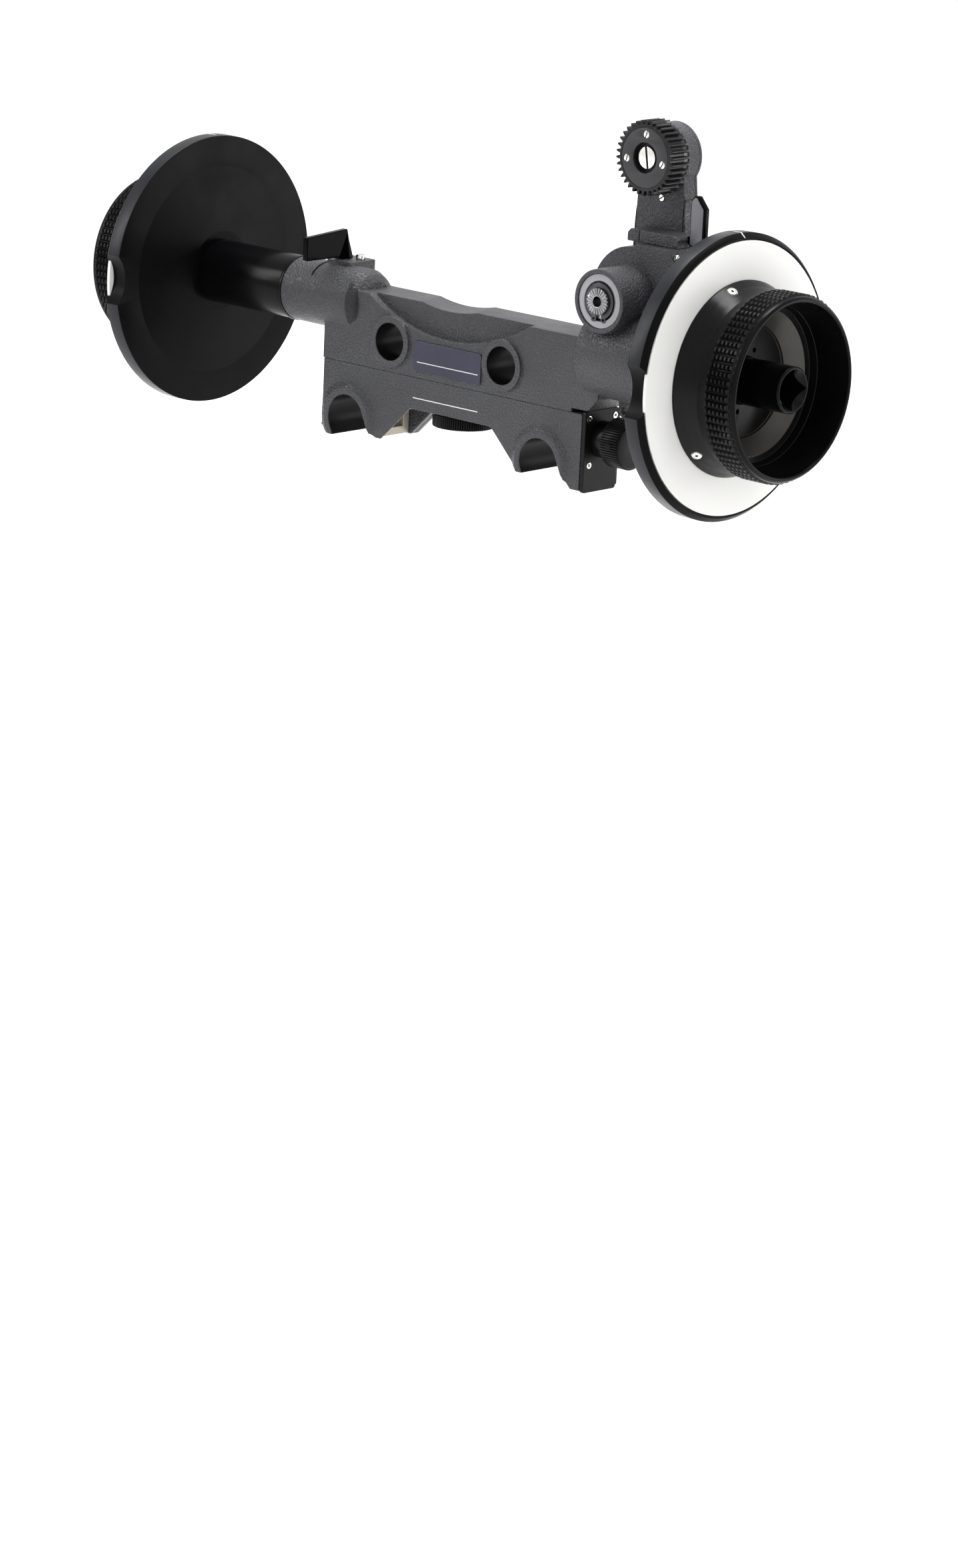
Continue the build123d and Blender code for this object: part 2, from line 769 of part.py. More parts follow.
for side, name in ((1, "right_wheel"), (-1, "left_wheel")):
    with BuildPart() as wheel:
        with BuildSketch(turned(shaft_y, shaft_z)):
            with BuildLine():
                Polyline(
                    (outward(side, marking_back + gap), socket_boss_r),
                    (outward(side, marking_back + gap), spigot_wheel_r),
                    (outward(side, wheel_start), spigot_wheel_r),
                    (outward(side, wheel_start), hub_flange_r),
                    (outward(side, flange_edge), hub_flange_r),
                    (outward(side, flare_end), neck_r + 0.5),
                    (outward(side, flare_end + 1.0), neck_r),
                    (outward(side, grip_start), neck_r),
                    (outward(side, grip_start), step_r),
                    (outward(side, cone_front), step_r),
                    (outward(side, cone_front), step_r - 2.4),
                    (outward(side, floor_front + 1.0), floor_r),
                    (outward(side, floor_front), floor_r),
                    (outward(side, floor_front), socket_boss_r),
                    close=True,
                )
            make_face()
        revolve(axis=Axis((0, shaft_y, shaft_z), (1, 0, 0)))
        # seats of the screws, square to the flare
        for turn in flare_screw_turns:
            with BuildSketch(flare_plane(side, turn)) as seat:
                Circle(flare_screw_r)
            extrude(seat.sketch, amount=-flare_screw_depth, mode=Mode.SUBTRACT)
            extrude(seat.sketch, amount=flare_screw_depth, mode=Mode.SUBTRACT)
    write(wheel.part, name)

for side, name in ((1, "right_wheel_grip"), (-1, "left_wheel_grip")):
    with BuildPart() as wheel_grip:
        with BuildSketch(turned(shaft_y, shaft_z)):
            with BuildLine():
                Polyline(
                    (outward(side, grip_start), step_r),
                    (outward(side, grip_start), grip_r),
                    (outward(side, grip_end), grip_r),
                    (outward(side, wheel_depth - 0.9), grip_r - 0.2),
                    (outward(side, wheel_depth), grip_r - 1.1),
                    (outward(side, wheel_depth), hollow_r + 0.6),
                    (outward(side, wheel_depth - 0.6), hollow_r),
                    (outward(side, hollow_step), hollow_r),
                    (outward(side, hollow_step), step_r),
                    close=True,
                )
            make_face()
        revolve(axis=Axis((0, shaft_y, shaft_z), (1, 0, 0)))
    write(wheel_grip.part, name)

# hub with a square crank socket that stands on its corner
for side, name in ((1, "right_wheel_hub"), (-1, "left_wheel_hub")):
    with BuildPart() as wheel_hub:
        hub_back = outward(side, marking_back + gap)
        hub_front = outward(side, socket_front)
        socket_back = outward(side, socket_bottom)
        with BuildSketch(across(min(hub_back, hub_front))):
            with Locations((shaft_y, shaft_z)):
                Circle(socket_boss_r)
                Circle(shaft_r, mode=Mode.SUBTRACT)
        extrude(amount=abs(hub_front - hub_back))
        with BuildSketch(across(min(socket_back, hub_front))):
            with Locations((shaft_y, shaft_z)):
                Rectangle(socket_side, socket_side, rotation=45)
        extrude(amount=abs(hub_front - socket_back), mode=Mode.SUBTRACT)
    write(wheel_hub.part, name)

for side, name in ((1, "wheel_screws_right"), (-1, "wheel_screws_left")):
    with BuildPart() as wheel_screws:
        for turn in flare_screw_turns:
            with BuildSketch(flare_plane(side, turn)):
                Circle(flare_screw_r)
            extrude(amount=-flare_screw_depth)
    write(wheel_screws.part, name)

# ---------------------------------------------------------------- lower output
serration_front = output_front - 1.2
shaft_back = train_front + train_width
with BuildPart() as output_shaft:
    with BuildSketch(facing(serration_front)):
        with Locations((output_x, output_z)):
            Circle(serration_r)
    extrude(amount=-(front_bearing_y + bearing_width - serration_front))
    with BuildSketch(facing(front_bearing_y + bearing_width)):
        with Locations((output_x, output_z)):
            Circle(output_shaft_r)
    extrude(amount=-(shaft_back - front_bearing_y - bearing_width))
    with BuildSketch(facing(serration_front)):
        with Locations((output_x, output_z)):
            Circle(output_thread_r)
    extrude(amount=-10.0, mode=Mode.SUBTRACT)
write(output_shaft.part, "output_shaft")

output_twist = twist_of(output_teeth)
with BuildPart() as output_gear:
    add(helical_solid(
        Plane(
            origin=(output_x, shaft_y - drive_width / 2, output_z),
            x_dir=(1, 0, 0), z_dir=(0, 1, 0),
        ),
        output_teeth, 90 + 180 / output_teeth - output_twist / 2, (0, drive_width, 0),
    ))
    with BuildSketch(facing(shaft_y - drive_width / 2 - 1)):
        with Locations((output_x, output_z)):
            Circle(output_shaft_r)
    extrude(amount=-(drive_width + 2), mode=Mode.SUBTRACT)
write(output_gear.part, "output_gear")

with BuildPart() as output_circlip:
    with BuildSketch(facing(front_bearing_y - 0.9)):
        with Locations((output_x, output_z)):
            Circle(serration_r + 1.9)
            Circle(serration_r, mode=Mode.SUBTRACT)
            with Locations((0, -serration_r - 2)):
                Rectangle(3.0, 5.0, mode=Mode.SUBTRACT)
    extrude(amount=-0.8)
write(output_circlip.part, "output_circlip")

# ---------------------------------------------------------------- gear arm
arm_top = lens_z - 5.6
axle_front = arm_front + arm_screw_width + 0.1
with BuildPart() as arm_casting:
    with BuildSketch(facing(arm_front)):
        with BuildLine():
            right_low = (output_x + arm_half_width + 0.2, output_z)
            right_high = (output_x + arm_neck, arm_top)
            left_high = (output_x - arm_neck, arm_top)
            left_low = (output_x - arm_half_width - 0.2, output_z)
            Line(left_low, right_low)
            ThreePointArc(right_low, (output_x + arm_half_width, output_z + 26), right_high)
            Line(right_high, left_high)
            ThreePointArc(left_high, (output_x - arm_half_width, output_z + 26), left_low)
        make_face()
        with Locations((output_x, output_z)):
            Circle(arm_half_width + 0.2)
        with Locations((output_x, lens_z)):
            Circle(arm_head_r)
    extrude(amount=-(arm_cover_front - arm_front))
    # gear pocket, closed by the back cover
    with BuildSketch(facing(arm_pocket)):
        with Locations(*[(output_x, z) for z in train_z]):
            Circle(train_tip_r + gap)
        with Locations((output_x, (output_z + lens_z) / 2)):
            Rectangle(arm_half_width, lens_z - output_z)
    extrude(amount=-(arm_cover_front - arm_pocket), mode=Mode.SUBTRACT)
    with BuildSketch(facing(arm_front - 1)):
        with Locations((output_x, output_z)):
            Circle(pivot_r + running)
        with Locations((output_x, lens_z)):
            Circle(spindle_r + running)
    extrude(amount=-(arm_pocket - arm_front + 1), mode=Mode.SUBTRACT)
    with BuildSketch(facing(arm_front - 1)):
        with Locations((arm_screw_x, arm_screw_z)):
            Circle(1.3)
    extrude(amount=-(1 + arm_screw_width - 0.2), mode=Mode.SUBTRACT)
    with BuildSketch(facing(axle_front)):
        with Locations((output_x, train_z[1]), (output_x, train_z[2])):
            Circle(axle_r)
    extrude(amount=-(arm_pocket - arm_front), mode=Mode.SUBTRACT)
write(arm_casting.part, "arm_casting")

with BuildPart() as arm_back_cover:
    with BuildSketch(facing(arm_cover_front)):
        with BuildLine():
            Line(left_low, right_low)
            ThreePointArc(right_low, (output_x + arm_half_width, output_z + 26), right_high)
            Line(right_high, left_high)
            ThreePointArc(left_high, (output_x - arm_half_width, output_z + 26), left_low)
        make_face()
        with Locations((output_x, output_z)):
            Circle(arm_half_width + 0.2)
        with Locations((output_x, lens_z)):
            Circle(arm_head_r)
    extrude(amount=-(arm_back - arm_cover_front))
    with BuildSketch(facing(arm_cover_front)):
        with Locations((output_x, train_z[1]), (output_x, train_z[2])):
            Circle(axle_r)
        with Locations((output_x, lens_z)):
            Circle(axle_r + running)
    extrude(amount=-1.0, mode=Mode.SUBTRACT)
write(arm_back_cover.part, "arm_back_cover")

with BuildPart() as arm_axles:
    with BuildSketch(facing(axle_front)):
        with Locations((output_x, train_z[1]), (output_x, train_z[2])):
            Circle(axle_r)
    extrude(amount=-(arm_cover_front + 1.0 - axle_front))
write(arm_axles.part, "arm_axles")

with BuildPart() as arm_screw:
    with BuildSketch(facing(arm_front - 0.2)):
        with Locations((arm_screw_x, arm_screw_z)):
            Circle(1.3)
    extrude(amount=-arm_screw_width)
write(arm_screw.part, "arm_screw")

half_tooth = 180 / train_teeth
bores = (output_shaft_r + running, axle_r + running, axle_r + running)
names = ("sun_gear", "idler_gear_lower", "idler_gear_upper")
for step in range(3):
    with BuildPart() as train_gear:
        gear_plane = Plane(origin=(output_x, train_front, train_z[step]), x_dir=(1, 0, 0), z_dir=(0, -1, 0))
        extrude(spur_sketch(gear_plane, train_module, train_teeth, 90 + half_tooth * step), amount=-train_width)
        with BuildSketch(facing(train_front - 1)):
            with Locations((output_x, train_z[step])):
                Circle(bores[step])
        extrude(amount=-(train_width + 2), mode=Mode.SUBTRACT)
    write(train_gear.part, names[step])

# spindle with the last gear of the train, stepped down at its rear end
with BuildPart() as lens_spindle:
    spindle_plane = Plane(origin=(output_x, train_front, lens_z), x_dir=(1, 0, 0), z_dir=(0, -1, 0))
    extrude(spur_sketch(spindle_plane, train_module, train_teeth, 90 + half_tooth * 3), amount=-train_width)
    with BuildSketch(facing(spindle_front)):
        with Locations((output_x, lens_z)):
            Circle(spindle_r)
    extrude(amount=-(train_front - spindle_front))
    with BuildSketch(facing(train_front + train_width)):
        with Locations((output_x, lens_z)):
            Circle(axle_r)
    extrude(amount=-(arm_cover_front + 0.8 - train_front - train_width))
    with BuildSketch(facing(spindle_front)):
        with Locations((output_x, lens_z)):
            Circle(1.8)
    extrude(amount=-4.0, mode=Mode.SUBTRACT)
write(lens_spindle.part, "lens_spindle")

with BuildPart() as lens_gear:
    lens_plane = Plane(origin=(output_x, lens_gear_front, lens_z), x_dir=(1, 0, 0), z_dir=(0, -1, 0))
    extrude(spur_sketch(lens_plane, train_module, lens_teeth, 90), amount=-lens_gear_width)
    with BuildSketch(facing(lens_gear_front)):
        with Locations((output_x, lens_z)):
            Circle(cover_r)
    extrude(amount=-cover_width, mode=Mode.SUBTRACT)
    with BuildSketch(facing(lens_gear_front)):
        with Locations((output_x, lens_z)):
            Circle(recess_r)
    extrude(amount=-(spindle_front - lens_gear_front), mode=Mode.SUBTRACT)
    with BuildSketch(facing(lens_gear_front)):
        with Locations((output_x, lens_z)):
            Circle(spindle_r)
    extrude(amount=-(lens_gear_width + 1), mode=Mode.SUBTRACT)
write(lens_gear.part, "lens_gear")

with BuildPart() as lens_gear_backing:
    backing_plane = Plane(origin=(output_x, lens_gear_back, lens_z), x_dir=(1, 0, 0), z_dir=(0, -1, 0))
    extrude(
        spur_sketch(backing_plane, train_module, lens_teeth, 90, 0.4),
        amount=-(arm_front - 0.4 - lens_gear_back),
    )
    with BuildSketch(facing(lens_gear_back - 1)):
        with Locations((output_x, lens_z)):
            Circle(spindle_r)
    extrude(amount=-6.0, mode=Mode.SUBTRACT)
write(lens_gear_backing.part, "lens_gear_backing")

with BuildPart() as gear_cover_disc:
    with BuildSketch(facing(lens_gear_front)):
        with Locations((output_x, lens_z)):
            Circle(cover_r)
            Circle(recess_r, mode=Mode.SUBTRACT)
            with Locations(*cover_screw_spots):
                Circle(cover_screw_r, mode=Mode.SUBTRACT)
    extrude(amount=-cover_width)
write(gear_cover_disc.part, "gear_cover_disc")

with BuildPart() as gear_cover_screws:
    with BuildSketch(facing(lens_gear_front - 0.1)):
        with Locations((output_x, lens_z)):
            with Locations(*cover_screw_spots):
                Circle(cover_screw_r)
    extrude(amount=-(cover_width + 0.1))
write(gear_cover_screws.part, "gear_cover_screws")

with BuildPart() as gear_centre_screw:
    with BuildSketch(facing(spindle_front - 1.8)):
        with Locations((output_x, lens_z)):
            Circle(4.2)
    extrude(amount=-1.8)
    with BuildSketch(facing(spindle_front)):
        with Locations((output_x, lens_z)):
            Circle(1.8)
    extrude(amount=-4.0)
write(gear_centre_screw.part, "gear_centre_screw")

# ---------------------------------------------------------------- levers
lever_left = drum_right + gap
with BuildPart() as arm_lock_lever:
    with BuildSketch(facing(lever_y - 1.45)):
        with BuildLine():
            Polyline(
                (lever_left, lever_z - 2.0),
                (lever_left, lever_z + 15.4),
                (lever_left + 1.6, lever_z + 17.2),
                (lever_left + 3.2, lever_z + 17.2),
                (lever_left + 7.0, lever_z + 12.4),
                (lever_left + 7.0, lever_z + 4.4),
                (lever_left + 3.0, lever_z - 2.0),
                close=True,
            )
        make_face()
    extrude(amount=-2.9)
    with BuildSketch(across(lever_left - lever_pin_length)):
        with Locations((lever_y, lever_z)):
            Circle(lever_pin_r)
    extrude(amount=lever_pin_length)
write(arm_lock_lever.part, "arm_lock_lever")

clamp_bolt_x = x_mid - 70.0
clamp_bolt_y = 14.0
lever_bottom = ear_top + gap
with BuildPart() as extension_clamp_lever:
    with BuildSketch(across(clamp_bolt_x - 1.3)):
        with BuildLine():
            Polyline(
                (clamp_bolt_y - 23.0, lever_bottom + 0.6),
                (clamp_bolt_y - 23.5, lever_bottom + 1.1),
                (clamp_bolt_y - 23.5, lever_bottom + 10.0),
                (clamp_bolt_y - 0.8, lever_bottom + 11.9),
                (clamp_bolt_y + 2.2, lever_bottom + 0.6),
                close=True,
            )
        make_face()
    extrude(amount=2.6)
    # hub, a cone that narrows to the lever's thickness
    with BuildSketch(level(lever_bottom)):
        with Locations((clamp_bolt_x, clamp_bolt_y)):
            Circle(2.8)
    with BuildSketch(level(lever_bottom + 11.3)):
        with Locations((clamp_bolt_x, clamp_bolt_y)):
            Circle(1.25)
    loft()
write(extension_clamp_lever.part, "extension_clamp_lever")

with BuildPart() as extension_clamp_bolt:
    with BuildSketch(level(ear_top - clamp_bolt_depth + 0.3)):
        with Locations((clamp_bolt_x, clamp_bolt_y)):
            Circle(clamp_bolt_r)
    extrude(amount=clamp_bolt_depth - 0.3 + gap)
write(extension_clamp_bolt.part, "extension_clamp_bolt")

# ---------------------------------------------------------------- bridge over the 19 mm rods
with BuildPart() as bridge_casting:
    for seat in rod19_x:
        with BuildSketch(Plane(origin=(seat, 0, 0), x_dir=(1, 0, 0), z_dir=(0, 0, 1))):
            with BuildLine():
                Polyline(
                    (0, frame_depth / 2),
                    (cone_r, frame_depth / 2),
                    (cone_r, 0),
                    (cone_top_r, -cone_proud),
                    (0, -cone_proud),
                    close=True,
                )
            make_face()
        revolve(axis=Axis((seat, 0, 0), (0, 1, 0)))
    with BuildSketch(facing(-cone_proud - 1)):
        with BuildLine():
            bridge_outline()
        make_face()
    extrude(amount=-(frame_depth + cone_proud + 1), mode=Mode.INTERSECT)
    with BuildSketch(facing(0)):
        with BuildLine():
            bridge_outline()
        make_face()
    extrude(amount=-frame_depth)
    with BuildSketch(facing(-cone_proud - 1)):
        rod_openings()
    extrude(amount=-(frame_depth + cone_proud + 2), mode=Mode.SUBTRACT)
    # tunnel of the clamp bar
    with BuildSketch(across(left_jaw_x - 2)):
        with Locations((bar_y, (bar_bottom + bar_top) / 2)):
            Rectangle(bar_width + 2 * gap, bar_top - bar_bottom + 2 * gap)
    extrude(amount=bridge_right - left_jaw_x + 3, mode=Mode.SUBTRACT)
    # slots of the jaws
    with BuildSketch(facing(jaw_front - gap)):
        with Locations((left_jaw_x - 2, bar_bottom)):
            Rectangle(25.0, 24.0, align=(Align.MIN, Align.MAX))
    extrude(amount=-(jaw_back - jaw_front + 2 * gap), mode=Mode.SUBTRACT)
    with BuildSketch(facing(clamp_y - right_jaw_width / 2 - gap)):
        with Locations((right_jaw_x - 1, bar_bottom)):
            Rectangle(20.0, 24.0, align=(Align.MIN, Align.MAX))
    extrude(amount=-(right_jaw_width + 2 * gap), mode=Mode.SUBTRACT)
    # bore of the thumb screw
    with BuildSketch(level(0)):
        with Locations((x_mid, thumb_y)):
            Circle(thumb_screw_r + running)
    extrude(amount=seam_z + 1, mode=Mode.SUBTRACT)
    # holes of the end plate screws
    with BuildSketch(across(bridge_right - 6.0)):
        with Locations(*end_screw_spots):
            Circle(end_screw_r)
    extrude(amount=8.0, mode=Mode.SUBTRACT)
write_halves(bridge_casting.part, "bridge_casting")

with BuildPart() as bridge_back_plate:
    with BuildSketch(facing(frame_depth)):
        with BuildLine():
            bridge_outline()
        make_face()
    extrude(amount=-back_plate_width)
    with BuildSketch(facing(frame_depth - 1)):
        rod_openings()
    extrude(amount=-(back_plate_width + 2), mode=Mode.SUBTRACT)
write_halves(bridge_back_plate.part, "bridge_back_plate")

with BuildPart() as bridge_end_plate:
    with BuildSketch(across(bridge_right)):
        with Locations((frame_depth / 2, (end_plate_top + end_plate_bottom) / 2)):
            RectangleRounded(frame_depth - 0.6, end_plate_top - end_plate_bottom, 1.5)
        with Locations(*end_screw_spots):
            Circle(end_screw_r, mode=Mode.SUBTRACT)
        with Locations((clamp_y, clamp_z)):
            Circle(clamp_screw_r + running, mode=Mode.SUBTRACT)
    extrude(amount=end_plate_width)
write(bridge_end_plate.part, "bridge_end_plate")

with BuildPart() as end_plate_screws:
    with BuildSketch(across(bridge_right - 5.0)):
        with Locations(*end_screw_spots):
            Circle(end_screw_r)
    extrude(amount=5.0 + end_plate_width + 0.1)
write(end_plate_screws.part, "end_plate_screws")

# ---------------------------------------------------------------- rod clamp
with BuildPart() as clamp_bar:
    with BuildSketch(level(bar_bottom)):
        with Locations((left_jaw_x, bar_y)):
            Rectangle(right_jaw_x - left_jaw_x, bar_width, align=(Align.MIN, Align.CENTER))
        with Locations((x_mid - clamp_travel / 2, thumb_y)):
            SlotCenterToCenter(clamp_travel, 2 * (thumb_screw_r + 0.4), mode=Mode.SUBTRACT)
    extrude(amount=bar_top - bar_bottom)
    # relief for the end of the clamp screw
    with BuildSketch(level(bar_bottom)):
        with Locations((right_jaw_x - clamp_travel - 1, clamp_y)):
            Rectangle(
                clamp_travel + 2, 2 * (clamp_screw_r + gap),
                align=(Align.MIN, Align.CENTER),
            )
    extrude(amount=clamp_z + clamp_screw_r + gap - bar_bottom, mode=Mode.SUBTRACT)
write(clamp_bar.part, "clamp_bar")

with BuildPart() as left_jaw:
    with BuildSketch(facing(jaw_front)):
        with Locations((left_jaw_x, bar_bottom)):
            Rectangle(7.5, bar_bottom + 5.0, align=(Align.MIN, Align.MAX))
    extrude(amount=-(jaw_back - jaw_front))
    with BuildSketch(across(left_jaw_x + 7.5 - 2.5)):
        with Locations((10.5, 1.1)):
            Rectangle(7.0, 5.8)
    extrude(amount=4.0, mode=Mode.SUBTRACT)
write(left_jaw.part, "left_jaw")

with BuildPart() as right_jaw:
    with BuildSketch(across(right_jaw_x)):
        with Locations((clamp_y, bar_top)):
            Rectangle(right_jaw_width, bar_top + 5.0, align=(Align.CENTER, Align.MAX))
        with Locations((clamp_y, clamp_z)):
            Circle(clamp_screw_r + 0.02, mode=Mode.SUBTRACT)
    extrude(amount=right_jaw_thickness)
write(right_jaw.part, "right_jaw")

knob_start = bridge_right + end_plate_width + gap
with BuildPart() as clamp_knob:
    with BuildSketch(turned(clamp_y, clamp_z)):
        with BuildLine():
            Polyline(
                (knob_start, 0),
                (knob_start, 7.3),
                (knob_start + 4.5, 7.3),
                (knob_start + 4.5, knob_r - 0.5),
                (knob_start + 5.0, knob_r),
                (knob_start + 10.2, knob_r),
                (knob_start + 10.7, knob_r - 0.5),
                (knob_start + 10.7, knob_r - 0.2),
                (knob_start + 16.4, knob_r - 0.2),
                (knob_start + 17.6, knob_r - 1.4),
                (knob_start + 17.6, 0),
                close=True,
            )
        make_face()
    revolve(axis=Axis((0, clamp_y, clamp_z), (1, 0, 0)))
write(clamp_knob.part, "clamp_knob")

with BuildPart() as clamp_screw:
    with BuildSketch(across(right_jaw_x + 0.6)):
        with Locations((clamp_y, clamp_z)):
            Circle(clamp_screw_r)
    extrude(amount=knob_start - right_jaw_x - 0.6)
write(clamp_screw.part, "clamp_screw")

# joins the bridge to the upper unit
with BuildPart() as bridge_thumbscrew:
    with BuildSketch(level(thumb_bottom)):
        with Locations((x_mid, thumb_y)):
            Circle(thumb_r)
    extrude(amount=notch_top_z - gap - thumb_bottom)
    with BuildSketch(level(notch_top_z - gap)):
        with Locations((x_mid, thumb_y)):
            Circle(thumb_screw_r)
    extrude(amount=seam_z + thumb_reach - notch_top_z + gap)
write(bridge_thumbscrew.part, "bridge_thumbscrew")
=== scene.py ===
import json
from math import atan2, cos, pi, radians, sin, sqrt, tan

import bmesh
import bpy
from mathutils import Matrix, Vector

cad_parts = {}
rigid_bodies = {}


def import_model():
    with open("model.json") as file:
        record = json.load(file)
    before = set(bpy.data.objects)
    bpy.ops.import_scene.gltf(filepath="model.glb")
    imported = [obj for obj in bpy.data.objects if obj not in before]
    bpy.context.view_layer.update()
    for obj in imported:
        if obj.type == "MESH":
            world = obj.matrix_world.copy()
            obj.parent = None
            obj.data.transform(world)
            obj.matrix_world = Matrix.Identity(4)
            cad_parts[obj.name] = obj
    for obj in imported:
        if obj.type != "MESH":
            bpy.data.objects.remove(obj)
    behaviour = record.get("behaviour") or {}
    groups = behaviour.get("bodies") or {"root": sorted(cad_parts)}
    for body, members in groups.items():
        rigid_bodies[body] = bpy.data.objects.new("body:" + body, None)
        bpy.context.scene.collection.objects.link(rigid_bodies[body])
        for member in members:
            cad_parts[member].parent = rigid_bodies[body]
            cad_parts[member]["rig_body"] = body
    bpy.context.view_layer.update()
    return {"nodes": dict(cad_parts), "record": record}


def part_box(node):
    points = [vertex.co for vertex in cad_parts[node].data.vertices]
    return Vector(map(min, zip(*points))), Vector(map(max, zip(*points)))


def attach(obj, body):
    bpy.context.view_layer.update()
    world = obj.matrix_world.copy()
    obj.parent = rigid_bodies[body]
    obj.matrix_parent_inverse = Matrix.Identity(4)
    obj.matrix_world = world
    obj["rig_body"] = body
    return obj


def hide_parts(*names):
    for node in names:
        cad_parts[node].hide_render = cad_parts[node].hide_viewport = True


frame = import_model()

MM = 0.001

# ---------------------------------------------------------------- places in the frame, millimetres
X_MID = 52.0
SHAFT_Y, SHAFT_Z = 9.6, 46.2
OUT_X, OUT_Z = X_MID + 84.8, 68.8274
LENS_Z = OUT_Z + 52.8
DISC_BACK = X_MID + 131.8
STACK_MIDDLE = X_MID - 4.4
EAR_TOP = SHAFT_Z + 14.4
HOUSING_START, HOUSING_END = X_MID - 89.0, X_MID - 47.5
SHAFT_AXIS = (0, SHAFT_Y, SHAFT_Z)
OUTPUT_AXIS = (OUT_X, 0, OUT_Z)
LENS_AXIS = (OUT_X, 0, LENS_Z)


def outward(side, distance):
    """X at a distance outwards from an index disc's back edge."""
    right = DISC_BACK + distance
    return right if side > 0 else 2 * STACK_MIDDLE - right


# ---------------------------------------------------------------- mesh helpers
WELD = 1e-7  # metres between points that count as one
AXIS_R = 0.02  # millimetres left open at the axis of a turned piece
# degrees from which an edge stays sharp
LATHE_ANGLE, PLATE_ANGLE, TURNED_ANGLE, SMALL_ANGLE = 30, 35, 25, 20


def new_object(name, data):
    obj = bpy.data.objects.new(name, data)
    bpy.context.scene.collection.objects.link(obj)
    return obj


def shade(obj, angle):
    """Smooth faces, sharp along the edges that turn by more than the angle."""
    obj.data.polygons.foreach_set("use_smooth", [True] * len(obj.data.polygons))
    obj.data.set_sharp_from_angle(angle=radians(angle))


def weld(mesh):
    """Join points that lie on each other and turn the faces outwards."""
    bm = bmesh.new()
    bm.from_mesh(mesh)
    bmesh.ops.remove_doubles(bm, verts=bm.verts, dist=WELD)
    bmesh.ops.recalc_face_normals(bm, faces=bm.faces)
    bm.to_mesh(mesh)
    bm.free()


def from_data(name, verts, faces, angle):
    mesh = bpy.data.meshes.new(name)
    mesh.from_pydata([Vector(v) * MM for v in verts], [], faces)
    weld(mesh)
    obj = new_object(name, mesh)
    shade(obj, angle)
    return obj


def from_bmesh(name, bm):
    mesh = bpy.data.meshes.new(name)
    bm.to_mesh(mesh)
    bm.free()
    return new_object(name, mesh)


def evaluated_mesh(obj):
    """Mesh of a curve, or of a mesh with its modifiers."""
    bpy.context.view_layer.update()
    deps = bpy.context.evaluated_depsgraph_get()
    return bpy.data.meshes.new_from_object(obj.evaluated_get(deps))


def apply_modifiers(obj):
    before = obj.data
    after = evaluated_mesh(obj)
    obj.modifiers.clear()
    obj.data = after
    name = before.name
    bpy.data.meshes.remove(before)
    after.name = name


def discard(obj):
    mesh = obj.data
    bpy.data.objects.remove(obj)
    bpy.data.meshes.remove(mesh)


def join(name, pieces, angle=PLATE_ANGLE):
    """One piece made of several, which keep their material indices."""
    bm = bmesh.new()
    for piece in pieces:
        bm.from_mesh(piece.data)
        discard(piece)
    obj = from_bmesh(name, bm)
    shade(obj, angle)
    return obj


def carve(obj, cutter):
    """Cut one closed mesh out of another."""
    cut = obj.modifiers.new("cut", "BOOLEAN")
    cut.object = cutter
    cut.solver = "EXACT"
    apply_modifiers(obj)
    discard(cutter)


def hull(name, points):
    """Closed convex piece round a few points."""
    bm = bmesh.new()
    for point in points:
        bm.verts.new(Vector(point) * MM)
    bmesh.ops.convex_hull(bm, input=bm.verts)
    bmesh.ops.dissolve_limit(bm, angle_limit=radians(1), verts=bm.verts, edges=bm.edges)
    return from_bmesh(name, bm)


# ---------------------------------------------------------------- outlines
def rounded(points, radius, steps=3):
    """Closed outline whose corners are replaced by short curves."""
    out = []
    for i, p in enumerate(points):
        a, b = points[i - 1], points[(i + 1) % len(points)]
        va = Vector((a[0] - p[0], a[1] - p[1]))
        vb = Vector((b[0] - p[0], b[1] - p[1]))
        if va.length < 1e-6 or vb.length < 1e-6:
            continue
        turn = va.angle(vb)
        if turn > pi - 0.05:
            out.append(p)
            continue
        cut = min(radius / tan(turn / 2), va.length * 0.45, vb.length * 0.45)
        start = Vector(p) + va.normalized() * cut
        end = Vector(p) + vb.normalized() * cut
        for s in range(steps + 1):
            t = s / steps
            q = start * (1 - t) ** 2 + Vector(p) * 2 * t * (1 - t) + end * t ** 2
            out.append((q.x, q.y))
    return out


def arc(radius, start, sweep, steps):
    """Points on an arc, from a start and through a sweep in degrees."""
    angles = [radians(start + sweep * i / steps) for i in range(steps + 1)]
    return [(radius * cos(a), radius * sin(a)) for a in angles]


def ring(radius, count, center=(0, 0)):
    angles = [2 * pi * i / count for i in range(count)]
    return [(center[0] + radius * cos(a), center[1] + radius * sin(a)) for a in angles]


def rect(width, height, center=(0, 0), corner=0.0):
    w, h = width / 2, height / 2
    points = [(x + center[0], y + center[1]) for x, y in ((-w, -h), (w, -h), (w, h), (-w, h))]
    return rounded(points, corner, 4) if corner else points


def spun(points, turn, center=(0, 0)):
    """Points turned by an angle in degrees, then moved to a centre."""
    c, s = cos(radians(turn)), sin(radians(turn))
    return [(center[0] + x * c - y * s, center[1] + x * s + y * c) for x, y in points]


def cross(size, width):
    """Cross on its diagonals, for a screw's recess."""
    a, b = size / 2, width / 2
    return spun([
        (b, a), (-b, a), (-b, b), (-a, b), (-a, -b), (-b, -b),
        (-b, -a), (b, -a), (b, -b), (a, -b), (a, b), (b, b),
    ], 45)


